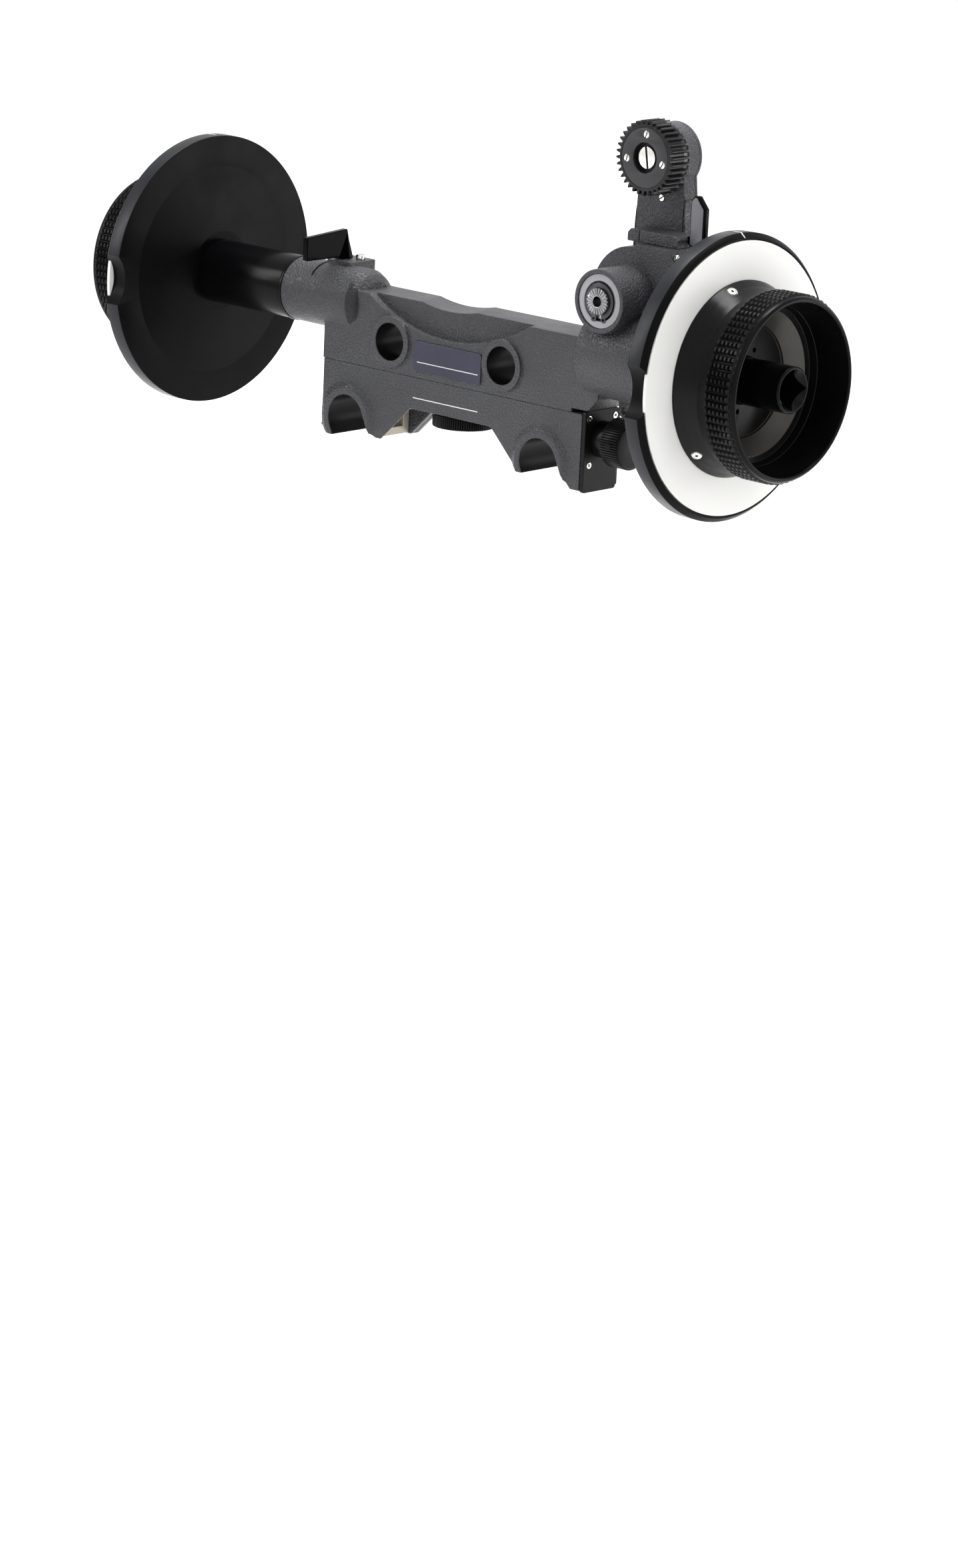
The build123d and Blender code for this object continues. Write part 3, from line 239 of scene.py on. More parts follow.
def fluted(outer, depth, count, share):
    """Outline with rounded flutes between lands that take a share of each pitch."""
    steps = (
        (0.0, outer), (share, outer), (share + 0.12, outer - depth * 0.75),
        ((1 + share) / 2, outer - depth), (0.88, outer - depth * 0.75),
    )
    loop = []
    for k in range(count):
        for t, r in steps:
            a = 2 * pi * (k + t) / count
            loop.append((r * cos(a), r * sin(a)))
    return loop


# ---------------------------------------------------------------- turned and flat pieces
def lathe(name, profile, center, axis="X", segments=160, radius=0.25):
    """Turned piece: profile holds (place along the axis, radius), with corners eased by radius."""
    line = rounded(profile, radius)
    count = len(line)
    verts, faces = [], []
    for s in range(segments):
        a = 2 * pi * s / segments
        for along, r in line:
            u, v = r * cos(a), r * sin(a)
            if axis == "X":
                verts.append((along, center[1] + u, center[2] + v))
            elif axis == "Y":
                verts.append((center[0] + u, along, center[2] + v))
            else:
                verts.append((center[0] + u, center[1] + v, along))
    for s in range(segments):
        t = (s + 1) % segments
        for i in range(count):
            j = (i + 1) % count
            faces.append((s * count + i, s * count + j, t * count + j, t * count + i))
    return from_data(name, verts, faces, LATHE_ANGLE)


def rod(name, start, end, r, center, axis="X", segments=32, radius=0.1):
    """Plain cylinder along an axis."""
    profile = [(start, AXIS_R), (start, r), (end, r), (end, AXIS_R)]
    return lathe(name, profile, center, axis, segments, radius)


def side_lathe(name, side, profile, segments, radius):
    """Piece turned about the cross shaft: profile holds (distance outwards, radius)."""
    profile = [(outward(side, u), r) for u, r in profile]
    return lathe(name, profile, SHAFT_AXIS, segments=segments, radius=radius)


AXES = {
    "front": (Vector((1, 0, 0)), Vector((0, 0, 1)), Vector((0, -1, 0))),
    "right": (Vector((0, 1, 0)), Vector((0, 0, 1)), Vector((1, 0, 0))),
    "left": (Vector((0, -1, 0)), Vector((0, 0, 1)), Vector((-1, 0, 0))),
    "top": (Vector((1, 0, 0)), Vector((0, 1, 0)), Vector((0, 0, 1))),
}


def plate(name, loops, origin, facing, low, high, bevel=0.0, turn=0.0):
    """Flat piece with holes: outlines round origin, from low to high along the facing's normal."""
    curve = bpy.data.curves.new(name, "CURVE")
    curve.dimensions = "2D"
    curve.fill_mode = "BOTH"
    for loop in loops:
        spline = curve.splines.new("POLY")
        spline.points.add(len(loop) - 1)
        for i, (u, v) in enumerate(loop):
            spline.points[i].co = (u * MM, v * MM, 0, 1)
        spline.use_cyclic_u = True
    curve.extrude = max((high - low) / 2 - bevel, 0) * MM
    curve.bevel_depth = bevel * MM
    curve.bevel_resolution = 1
    curve.offset = -bevel * MM
    outline = new_object(name + "_curve", curve)
    mesh = evaluated_mesh(outline)
    bpy.data.objects.remove(outline)
    across, up, out = AXES[facing]
    basis = Matrix((across, up, out)).transposed().to_4x4()
    place = Matrix.Translation(Vector(origin) * MM + out * (low + high) / 2 * MM)
    mesh.transform(place @ basis @ Matrix.Rotation(radians(turn), 4, "Z"))
    weld(mesh)
    mesh.name = name
    obj = new_object(name, mesh)
    shade(obj, PLATE_ANGLE)
    return obj


# ---------------------------------------------------------------- copies of CAD nodes
BEVEL_ANGLE = 28  # degrees from which an edge is bevelled
FACET_ANGLE = 18  # degrees from which an edge stays sharp
BRIDGE_JOINT_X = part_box("bridge_casting_left")[1][0] / MM


def refine(nodes, width):
    """Copy of CAD nodes with bevelled edges. Two nodes are halves and are joined where they meet."""
    bm = bmesh.new()
    for node in nodes:
        bm.from_mesh(frame["nodes"][node].data)
    if len(nodes) > 1:
        joint = BRIDGE_JOINT_X * MM
        inner = [
            face for face in bm.faces
            if abs(face.normal.x) > 0.99 and abs(face.calc_center_median().x - joint) < 1e-5
        ]
        bmesh.ops.delete(bm, geom=inner, context="FACES_ONLY")
        for face in bm.faces:
            face.material_index = 0
    bmesh.ops.remove_doubles(bm, verts=bm.verts, dist=2e-6)
    bmesh.ops.dissolve_limit(
        bm, angle_limit=radians(0.4), verts=bm.verts, edges=bm.edges, use_dissolve_boundaries=False,
    )
    obj = from_bmesh(nodes[0] + "_soft", bm)
    bevel = obj.modifiers.new("edges", "BEVEL")
    bevel.width = width * MM
    bevel.segments = 2
    bevel.limit_method = "ANGLE"
    bevel.angle_limit = radians(BEVEL_ANGLE)
    bevel.use_clamp_overlap = False
    bevel.loop_slide = True
    apply_modifiers(obj)
    shade(obj, FACET_ANGLE)
    return obj


def body_of(node):
    return frame["nodes"][node]["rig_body"]


def stand_for(obj, *nodes):
    """The piece replaces these nodes and moves with their body."""
    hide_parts(*nodes)
    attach(obj, body_of(nodes[0]))


# ---------------------------------------------------------------- materials
GRAIN_SCALE, GRAIN_HEIGHT = 1300, 0.0002
FINE_SCALE, FINE_HEIGHT = 3500, 0.00003
SCRATCH_SCALE, SCRATCH_STRETCH, SCRATCH_TURN = 2600, (1.0, 0.06, 1.0), (0.5, 0.2, 0.9)


def link(tree, a, b):
    tree.links.new(a, b)


def brighter(color, factor, plus=0.0):
    return tuple(min(c * factor + plus, 1) for c in color)


def finish(
    name, color, rough, fine, spread=0.12, spec=0.5, metal=0.0, grain=0.0, grain_size=1.0,
    scratch=0.0, rough_spread=0.08, blotch=25.0, turned=0.0,
):
    """Painted, moulded or machined surface: colour drift, changing gloss and a fine relief."""
    mat = bpy.data.materials.new(name)
    mat.use_nodes = True
    tree = mat.node_tree
    bsdf = tree.nodes["Principled BSDF"]
    bsdf.inputs["Metallic"].default_value = metal
    bsdf.inputs["Specular IOR Level"].default_value = spec
    coords = tree.nodes.new("ShaderNodeTexCoord")
    if turned:
        bsdf.inputs["Anisotropic"].default_value = turned
        tangent = tree.nodes.new("ShaderNodeTangent")
        tangent.direction_type = "RADIAL"
        tangent.axis = "X"
        link(tree, tangent.outputs["Tangent"], bsdf.inputs["Tangent"])

    def noise(scale, detail, roughness=0.55, vector=coords.outputs["Object"]):
        node = tree.nodes.new("ShaderNodeTexNoise")
        node.inputs["Scale"].default_value = scale
        node.inputs["Detail"].default_value = detail
        node.inputs["Roughness"].default_value = roughness
        link(tree, vector, node.inputs["Vector"])
        return node.outputs["Fac"]

    def ramp(source, low, high, low_value, high_value):
        node = tree.nodes.new("ShaderNodeMapRange")
        node.inputs["From Min"].default_value = low
        node.inputs["From Max"].default_value = high
        node.inputs["To Min"].default_value = low_value
        node.inputs["To Max"].default_value = high_value
        link(tree, source, node.inputs["Value"])
        return node.outputs["Result"]

    def mix(factor, a, b):
        """Blend of a, a colour or a socket, with the colour b."""
        node = tree.nodes.new("ShaderNodeMix")
        node.data_type = "RGBA"
        link(tree, factor, node.inputs["Factor"])
        if isinstance(a, tuple):
            node.inputs[6].default_value = (*a, 1)
        else:
            link(tree, a, node.inputs[6])
        node.inputs[7].default_value = (*b, 1)
        return node.outputs[2]

    def bump(height, strength, distance):
        node = tree.nodes.new("ShaderNodeBump")
        node.inputs["Strength"].default_value = strength
        node.inputs["Distance"].default_value = distance
        link(tree, height, node.inputs["Height"])
        return node

    drift = ramp(noise(blotch, 4.0), 0.35, 0.65, 0, 1)
    tint = mix(drift, brighter(color, 1 - spread), brighter(color, 1 + spread))
    relief = bump(noise(FINE_SCALE, 3.0, 0.6), fine, FINE_HEIGHT)
    if grain:
        cell = noise(GRAIN_SCALE / grain_size, 2.0, 0.5)
        tint = mix(ramp(cell, 0.5, 0.8, 0, 0.5), tint, brighter(color, 1.8))
        coarse = bump(ramp(cell, 0.42, 0.72, 0, 1), grain, GRAIN_HEIGHT)
        link(tree, coarse.outputs["Normal"], relief.inputs["Normal"])
    if scratch:
        mapping = tree.nodes.new("ShaderNodeMapping")
        mapping.inputs["Scale"].default_value = SCRATCH_STRETCH
        mapping.inputs["Rotation"].default_value = SCRATCH_TURN
        link(tree, coords.outputs["Object"], mapping.inputs["Vector"])
        lines = noise(SCRATCH_SCALE, 2.0, 0.6, mapping.outputs["Vector"])
        tint = mix(ramp(lines, 0.68, 0.8, 0, scratch), tint, brighter(color, 4, 0.03))
    gloss = ramp(noise(blotch * 2.3, 3.0), 0.3, 0.7, rough - rough_spread, rough + rough_spread)
    link(tree, relief.outputs["Normal"], bsdf.inputs["Normal"])
    link(tree, tint, bsdf.inputs["Base Color"])
    link(tree, gloss, bsdf.inputs["Roughness"])
    return mat


# coated castings
CAST = finish("cast_coating", (0.036, 0.0365, 0.041), 0.4, 0.3, spread=0.14, spec=0.42, grain=1.45)
# darker coat for the left housing's turned end: painted shade
CAST_END_SHADE = finish("cast_end_painted_shade", (0.017, 0.0172, 0.02), 0.45, 0.3, spec=0.25, grain=1.2)
CAST_FINE = finish(
    "cast_coating_fine", (0.075, 0.076, 0.084), 0.48, 0.25, spread=0.1, spec=0.35, grain=0.4,
    grain_size=0.8,
)
# near black for the walls of bores and hooks: painted shade
BORE_SHADE = finish("bore_painted_shade", (0.004, 0.004, 0.0045), 0.3, 0.15, spread=0.15, spec=0.05)

# black turned pieces, plates and levers
DISC = finish(
    "disc_black", (0.002, 0.0024, 0.0021), 0.3, 0.06, spread=0.3, spec=0.045, scratch=0.12,
    rough_spread=0.05, turned=0.8,
)
RIM = finish("disc_rim", (0.014, 0.0145, 0.018), 0.32, 0.12, spec=0.15)
TUBE = finish(
    "tube_black", (0.0025, 0.0025, 0.003), 0.22, 0.05, spread=0.2, spec=0.08, scratch=0.06,
    rough_spread=0.05,
)
WHEEL = finish(
    "wheel_black", (0.0028, 0.0028, 0.003), 0.25, 0.08, spread=0.2, spec=0.08, scratch=0.05,
)
FLANGE = finish("wheel_flange", (0.004, 0.004, 0.0044), 0.27, 0.1, spread=0.2, spec=0.12)
STEP = finish("wheel_step", (0.045, 0.042, 0.038), 0.34, 0.2, spread=0.15, spec=0.3, metal=0.5)
STUDS = finish("grip_black", (0.003, 0.003, 0.0034), 0.26, 0.1, spread=0.2, spec=0.14)
BLACK = finish(
    "plate_black", (0.0045, 0.0045, 0.005), 0.36, 0.12, spread=0.2, spec=0.12, scratch=0.05,
)
GLOSS = finish("lever_black", (0.0012, 0.0012, 0.0015), 0.14, 0.05, spread=0.2, spec=0.04)
LEVER = finish("lever_face", (0.16, 0.16, 0.175), 0.42, 0.15, spread=0.06)
# near black for the tommy hole's plug: painted shade
HOLE_SHADE = finish("hole_painted_shade", (0.003, 0.003, 0.003), 0.6, 0.05, spread=0.1, spec=0.1)
# dark floor of screw slots: painted shadow
SLOT_SHADOW = finish("slot_shadow", (0.012, 0.011, 0.01), 0.5, 0.1, spread=0.1, spec=0.1)

# label, marking discs and gear
WHITE = finish(
    "marking_white", (0.9, 0.895, 0.87), 0.48, 0.05, spread=0.012, spec=0.4, blotch=12,
)
LABEL = finish("label_blue", (0.033, 0.033, 0.06), 0.33, 0.08, spread=0.08, spec=0.25)
RULE = finish("rule_white", (0.72, 0.72, 0.74), 0.5, 0.05, spread=0.05)
GEAR = finish("gear_black", (0.009, 0.009, 0.01), 0.36, 0.2, spread=0.15, spec=0.22)
COVER = finish("gear_cover_grey", (0.034, 0.034, 0.037), 0.42, 0.1, spread=0.08, spec=0.3)

# bare metal
NICKEL = finish(
    "nickel", (0.78, 0.76, 0.72), 0.16, 0.05, spread=0.06, metal=1.0, rough_spread=0.05,
)
STEEL = finish("steel", (0.5, 0.5, 0.51), 0.32, 0.2, spread=0.1, metal=1.0)
SPLINE = finish("serration_steel", (0.3, 0.3, 0.31), 0.24, 0.2, metal=1.0)
RING = finish("bearing_grey", (0.27, 0.27, 0.285), 0.38, 0.6, metal=0.5, scratch=0.3)
CLIP = finish("clip_phosphate", (0.05, 0.05, 0.052), 0.3, 0.2, spread=0.15, metal=0.8)
BACKING = finish("backing_dark", (0.05, 0.05, 0.055), 0.34, 0.2, spread=0.1, metal=0.5)
JAW = finish(
    "jaw_beige", (0.37, 0.335, 0.27), 0.42, 0.2, spread=0.08, metal=0.3, scratch=0.05,
)

slot_materials = {
    "cast": CAST, "label": LABEL, "black_plate": BLACK, "anodised": WHEEL, "white_disc": WHITE,
    "steel": STEEL, "nickel": NICKEL, "jaw": JAW, "gear_plastic": GEAR, "backing": STEEL,
}
node_slots = {row["node"]: row["material_slot"] for row in frame["record"]["subparts"]}
for node, obj in frame["nodes"].items():
    chosen = slot_materials[node_slots[node]]
    if obj.material_slots:
        for slot in obj.material_slots:
            slot.material = chosen
    else:
        obj.data.materials.append(chosen)
    shade(obj, LATHE_ANGLE)


def paint(obj, material):
    obj.data.materials.clear()
    obj.data.materials.append(material)
    return obj


def paint_faces(obj, material, chosen):
    """One more finish, on the faces whose normal and centre in millimetres pass the test."""
    obj.data.materials.append(material)
    index = len(obj.data.materials) - 1
    for face in obj.data.polygons:
        if chosen(face.normal, face.center / MM):
            face.material_index = index


def slot_shadow_floor(piece):
    """Mark a part that joins a screw as the floor of its slot, which is painted dark as shadow."""
    piece.data.polygons.foreach_set("material_index", [1] * len(piece.data.polygons))
    return piece


def paint_screws(obj):
    """Nickel heads with dark floors in their slots, painted as slot shadow."""
    floors = [face.material_index for face in obj.data.polygons]
    paint(obj, NICKEL)
    obj.data.materials.append(SLOT_SHADOW)
    obj.data.polygons.foreach_set("material_index", floors)
    return obj


# ---------------------------------------------------------------- castings, jaws, gear and plates
rod_bores = []
for mount in frame["record"]["mounts"]:
    if mount["name"].startswith(("rod15", "rod_clamp")):
        x, _, z = mount["pos_m"]
        rod_bores.append((x / MM, z / MM, mount["dims"]["r_mm"]))


def from_shaft(spot):
    """Distance from the cross shaft's axis."""
    return sqrt((spot.y - SHAFT_Y) ** 2 + (spot.z - SHAFT_Z) ** 2)


def on_bore_shade(normal, spot):
    """Machined walls of the rod bores and hooks, painted near black as shade."""
    return abs(normal.y) < 0.3 and any(
        sqrt((spot.x - x) ** 2 + (spot.z - z) ** 2) < r + 0.5 for x, z, r in rod_bores
    )


def on_housing_end_shade(normal, spot):
    """Front half of the left housing's turned end, painted darker as shade."""
    along = HOUSING_END - 5.7 < spot.x < HOUSING_END + 0.2
    return along and from_shaft(spot) < 13.2 and normal.x > 0.3 and spot.y < 0.0


# shadow lines: outline, facing, low, high
groove_cuts = {
    "arm_guide_block": [(rect(0.45, 20.0, (OUT_X - 0.4, 92.0)), "front", -14.5, -13.0)],
    "arm_casting": [
        (rect(0.4, 70.0, (OUT_X + shift, 100.0)), "front", -25.5, -24.6) for shift in (11.7, -12.0)
    ],
}
for nodes, width, material in (
    (("main_casting",), 0.3, CAST),
    (("bridge_casting_left", "bridge_casting_right"), 0.3, CAST),
    (("arm_casting",), 0.35, CAST),
    (("arm_back_cover",), 0.3, CAST),
    (("arm_guide_block",), 0.35, CAST),
    (("housing_end_cap",), 0.4, CAST_FINE),
    (("bridge_back_plate_left", "bridge_back_plate_right"), 0.3, BLACK),
    (("bridge_end_plate",), 0.3, BLACK),
    (("left_jaw",), 0.3, JAW),
    (("right_jaw",), 0.3, BLACK),
    (("lens_gear",), 0.12, GEAR),
    (("lens_gear_backing",), 0.08, BACKING),
    (("label_plate",), 0.15, LABEL),
):
    soft = refine(nodes, width)
    for loop, facing, low, high in groove_cuts.get(nodes[0], ()):
        carve(soft, plate("groove", [loop], (0, 0, 0), facing, low, high))
        shade(soft, FACET_ANGLE)
    paint(soft, material)
    if material is CAST:
        # bore and hook walls painted near black as shade
        paint_faces(soft, BORE_SHADE, on_bore_shade)
    if nodes[0] == "main_casting":
        # the front of the left housing's turned end is painted darker as shade
        paint_faces(soft, CAST_END_SHADE, on_housing_end_shade)
    stand_for(soft, *nodes)

# ---------------------------------------------------------------- discs and hand wheels
DISC_R = 55.0
NOTCH_R, NOTCH_DEPTH = 14.3, 4.9
STUD_ROWS, STUD_COUNT, STUD_HEIGHT = 6, 76, 0.95
GRIP_R, GRIP_START, GRIP_END = 35.1, 22.0, 34.0
SCREW_TURNS = (105.8, 225.8, 345.8)
PIN_TURNS, PIN_CIRCLE_R, PIN_R = (-105.5, 67.6), 12.0, 1.0
FLARE_TILT = atan2(6.3, 3.4)
FLARE_U, FLARE_R = 11.85, 36.1
TICK_HALF_WIDTH, TICK_THICKNESS = 0.32, 0.06


def flare_matrix(side, turn):
    """Place on the middle of the flare, with Z square to its surface."""
    out = Vector((0, cos(radians(turn)), sin(radians(turn))))
    normal = Vector((side, 0, 0)) * cos(FLARE_TILT) + out * sin(FLARE_TILT)
    across = Vector((0, -sin(radians(turn)), cos(radians(turn))))
    down = normal.cross(across)
    spot = Vector((outward(side, FLARE_U), SHAFT_Y, SHAFT_Z)) + out * FLARE_R
    turned = Matrix((across, down, normal)).transposed().to_4x4()
    return Matrix.Translation(spot * MM) @ turned


def flare_plate(name, side, turn, loops, low, high, bevel=0.0):
    """Flat piece on the flare, low to high square to its surface."""
    piece = plate(name, loops, (0, 0, 0), "top", low, high, bevel, turn=30)
    piece.data.transform(flare_matrix(side, turn))
    return piece


def index_disc(side, key):
    """Fixed disc: dished back, rim with a bevelled edge, thumb notch at the front."""
    disc = side_lathe(f"{key}_index_disc", side, [
        (-4.0, 3.7), (-4.0, 16.2), (0, 42.5), (0, 54.9), (6.2, 55.0), (8.2, 53.2), (8.2, 52.5),
        (6.65, 52.5), (6.65, 45.5), (2.4, 42.5), (-1.6, 15.2), (-1.6, 3.7),
    ], segments=256, radius=0.3)
    notch_y = SHAFT_Y - DISC_R + NOTCH_DEPTH - NOTCH_R
    carve(disc, rod("notch_cutter", outward(side, -3), outward(side, 12), NOTCH_R,
                    (0, notch_y, SHAFT_Z), segments=96, radius=0))
    shade(disc, TURNED_ANGLE)
    paint(disc, DISC)
    paint_faces(disc, RIM, lambda normal, spot: from_shaft(spot) > DISC_R - 0.2)
    stand_for(disc, f"index_disc_{key}")


def marking_disc(side, key):
    disc = side_lathe(f"{key}_marking_disc", side, [
        (6.95, 20.0), (6.95, 52.2), (8.45, 52.2), (8.45, 20.0),
    ], segments=256, radius=0.15)
    paint(disc, WHITE)
    stand_for(disc, f"marking_disc_{key}")


def wheel_flange(side, key):
    """Flared flange with pockets for its screws, two pin holes and a bare step inside."""
    flange = side_lathe(f"{key}_hand_wheel", side, [
        (7.25, 9.05), (7.25, 20.0), (8.45, 20.0), (8.45, 37.5), (9.25, 37.5), (12.2, 35.6),
        (15.6, 34.1), (17.2, 33.6), (22.0, 33.6), (22.0, 30.9), (18.4, 30.5), (18.2, 28.0),
        (13.2, 21.6), (12.2, 21.6), (12.2, 9.05),
    ], segments=256, radius=0.5)
    cuts = [flare_plate("pocket", side, turn, [ring(2.05, 40)], -1.0, 3.0) for turn in SCREW_TURNS]
    ends = sorted((outward(side, 10.7), outward(side, 13.0)))
    for turn in PIN_TURNS:
        y = SHAFT_Y + PIN_CIRCLE_R * cos(radians(turn))
        z = SHAFT_Z + PIN_CIRCLE_R * sin(radians(turn))
        cuts.append(plate("pin_hole", [ring(PIN_R, 24)], (0, y, z), "right", *ends))
    carve(flange, join("pockets", cuts))
    shade(flange, TURNED_ANGLE)
    paint(flange, FLANGE)
    step_x = outward(side, 15.5)
    paint_faces(
        flange, STEP,
        lambda normal, spot: 20.5 < from_shaft(spot) < 28.2 and abs(spot.x - step_x) < 3.2,
    )
    stand_for(flange, f"{key}_wheel")


def wheel_grip(side, key):
    sleeve = side_lathe(f"{key}_wheel_ring", side, [
        (22.0, 30.9), (GRIP_START, GRIP_R), (GRIP_END, GRIP_R), (34.2, GRIP_R), (34.5, 35.2),
        (35.3, 34.9), (36.0, 34.1), (36.0, 33.5), (35.6, 33.0),
    ], segments=256, radius=0.4)
    paint(sleeve, WHEEL)
    stand_for(sleeve, f"{key}_wheel_grip")


def wheel_hub(side, key):
    """Hub with a square crank socket, whose mouth is opened by a cone."""
    hub = side_lathe(f"{key}_wheel_hub", side, [
        (7.25, 3.0), (7.25, 8.98), (35.1, 8.98), (35.7, 8.4), (35.7, 3.0),
    ], segments=128, radius=0.25)
    facing = "right" if side > 0 else "left"
    origin = (outward(side, 0), SHAFT_Y, SHAFT_Z)
    carve(hub, plate("socket", [rect(11.4, 11.4, corner=0.7)], origin, facing, 22.0, 38.0, turn=45))
    carve(hub, side_lathe("lead_in", side, [
        (33.4, AXIS_R), (33.4, 5.9), (35.8, 8.1), (36.6, 8.1), (36.6, AXIS_R),
    ], segments=96, radius=0))
    shade(hub, TURNED_ANGLE)
    paint(hub, WHEEL)
    stand_for(hub, f"{key}_wheel_hub")


def grip_studs(side, key):
    """Rows of small blunt pyramids round the grip."""
    verts, faces = [], []
    pitch = (GRIP_END - GRIP_START - 0.4) / STUD_ROWS
    step = 2 * pi / STUD_COUNT
    foot = (pitch * 0.48, step * 0.48, GRIP_R - 0.05)
    top = (pitch * 0.17, step * 0.22, GRIP_R + STUD_HEIGHT)
    for row in range(STUD_ROWS):
        middle = GRIP_START + 0.2 + pitch * (row + 0.5)
        for k in range(STUD_COUNT):
            base = len(verts)
            for half_u, half_a, r in (foot, top):
                for su, sa in ((-1, -1), (1, -1), (1, 1), (-1, 1)):
                    a = step * k + sa * half_a
                    x = outward(side, middle + su * half_u)
                    verts.append((x, SHAFT_Y + r * cos(a), SHAFT_Z + r * sin(a)))
            for i in range(4):
                j = (i + 1) % 4
                faces.append((base + i, base + j, base + 4 + j, base + 4 + i))
            faces.append((base + 4, base + 5, base + 6, base + 7))
            faces.append((base + 3, base + 2, base + 1, base))
    grip = from_data(f"{key}_grip_studs", verts, faces, SMALL_ANGLE)
    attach(paint(grip, STUDS), "hand_wheels")


def flange_screws(side, key):
    """Screws sunk in the flare, square to it."""
    heads = []
    for turn in SCREW_TURNS:
        heads += [
            flare_plate("head", side, turn, [ring(1.85, 40), ring(0.55, 20)], -0.75, 0.1, 0.15),
            slot_shadow_floor(flare_plate("foot", side, turn, [ring(1.8, 32)], -1.0, -0.5)),
            flare_plate("washer", side, turn, [ring(2.02, 40), ring(1.9, 40)], -0.95, -0.3),
        ]
    stand_for(paint_screws(join(f"{key}_flange_screws", heads)), f"wheel_screws_{key}")


def index_tick(side, key):
    """White line over the rim, at the top."""
    verts = []
    for u, r in ((1.2, 55.03), (6.2, 55.03), (8.23, 53.23)):
        for half in (-TICK_HALF_WIDTH, TICK_HALF_WIDTH):
            verts.append((outward(side, u), SHAFT_Y + half, SHAFT_Z + sqrt(r * r - half * half)))
    faces = [(0, 1, 3, 2), (2, 3, 5, 4)]
    mark = from_data(f"{key}_index_tick", verts, faces, LATHE_ANGLE)
    thick = mark.modifiers.new("thick", "SOLIDIFY")
    thick.thickness = TICK_THICKNESS * MM
    thick.offset = 0
    apply_modifiers(mark)
    paint(mark, RULE)
    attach(mark, "housing")


for side, key in ((1, "right"), (-1, "left")):
    for dress in (
        index_disc, marking_disc, wheel_flange, wheel_grip, wheel_hub, grip_studs,
        flange_screws, index_tick,
    ):
        dress(side, key)

# ---------------------------------------------------------------- extension tube and its ring
TUBE_START, TUBE_BORE_END, TUBE_END = outward(-1, -4.0), outward(-1, -8.1), X_MID - 60.3
tube = lathe("tube_with_collar", [
    (TUBE_START, 6.6), (TUBE_START, 12.9), (HOUSING_START, 12.8), (HOUSING_START, 10.55),
    (TUBE_END, 10.55), (TUBE_END, 8.4), (TUBE_BORE_END, 8.4), (TUBE_BORE_END, 6.6),
], SHAFT_AXIS, radius=0.2)
stand_for(paint(tube, TUBE), "extension_tube")
collar_start, collar_end = HOUSING_START - 1.4, HOUSING_START - 0.05
collar = lathe("tube_end_ring", [
    (collar_start, 12.82), (collar_start, 13.2), (collar_end, 13.2), (collar_end, 12.82),
], SHAFT_AXIS, radius=0.12)
stand_for(paint(collar, TUBE), "extension_ring")

# ---------------------------------------------------------------- lower output
bearing = lathe("output_bearing_ring", [
    (-3.4, 7.7), (-3.4, 10.4), (-7.55, 10.4), (-7.55, 8.0), (-7.3, 7.7),
], OUTPUT_AXIS, "Y", segments=128, radius=0.25)
stand_for(paint(bearing, RING), "output_bearing_front")
shield = lathe("output_bearing_seal", [
    (-3.6, 6.9), (-3.6, 7.68), (-6.3, 7.68), (-6.3, 7.45), (-5.6, 7.3), (-5.6, 6.9),
], OUTPUT_AXIS, "Y", segments=128, radius=0.1)
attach(paint(shield, CLIP), body_of("output_bearing_front"))
race = lathe("output_bearing_race", [
    (-3.6, 5.2), (-3.6, 6.85), (-6.5, 6.85), (-6.5, 5.2),
], OUTPUT_AXIS, "Y", segments=128, radius=0.2)
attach(paint(race, STEEL), body_of("output_bearing_front"))

SERRATIONS, SERRATION_DEPTH, OUTPUT_R = 22, 0.62, 5.1
OUTPUT_FRONT_Y, THREAD_R, THREAD_FLOOR_Y = -9.0, 2.1, -1.0


def serrated_shaft():
    """Shaft whose front face carries radial serrations round a threaded hole."""
    # (radius, y) from the hole's edge to the far end; the second to the fourth are serrated
    rows = (
        (2.3, -9.1), (2.35, -9.2), (5.0, -9.2), (OUTPUT_R, OUTPUT_FRONT_Y), (OUTPUT_R, -3.4),
        (4.0, -3.4), (4.0, 30.9), (0.0, 30.9),
    )
    steps = SERRATIONS * 4
    angles = [2 * pi * s / steps for s in range(steps)]
    verts, faces = [], []
    for s, a in enumerate(angles):
        valley = s % 4 in (1, 2)
        for i, (r, y) in enumerate(rows):
            drop = SERRATION_DEPTH * (r / OUTPUT_R) if valley and i in (1, 2, 3) else 0
            verts.append((OUT_X + r * cos(a), y + drop, OUT_Z + r * sin(a)))
    hole = len(verts)
    for a in angles:
        for y in (OUTPUT_FRONT_Y, THREAD_FLOOR_Y):
            verts.append((OUT_X + THREAD_R * cos(a), y, OUT_Z + THREAD_R * sin(a)))
    tip = len(verts)
    verts.append((OUT_X, THREAD_FLOOR_Y, OUT_Z))
    n = len(rows)
    for s in range(steps):
        t = (s + 1) % steps
        for i in range(n - 1):
            faces.append((s * n + i, t * n + i, t * n + i + 1, s * n + i + 1))
        mouth, next_mouth = hole + 2 * s, hole + 2 * t
        faces.append((s * n, mouth, next_mouth, t * n))
        faces.append((mouth, mouth + 1, next_mouth + 1, next_mouth))
        faces.append((mouth + 1, tip, next_mouth + 1))
    return from_data("serrated_output_shaft", verts, faces, SMALL_ANGLE)


stand_for(paint(serrated_shaft(), SPLINE), "output_shaft")

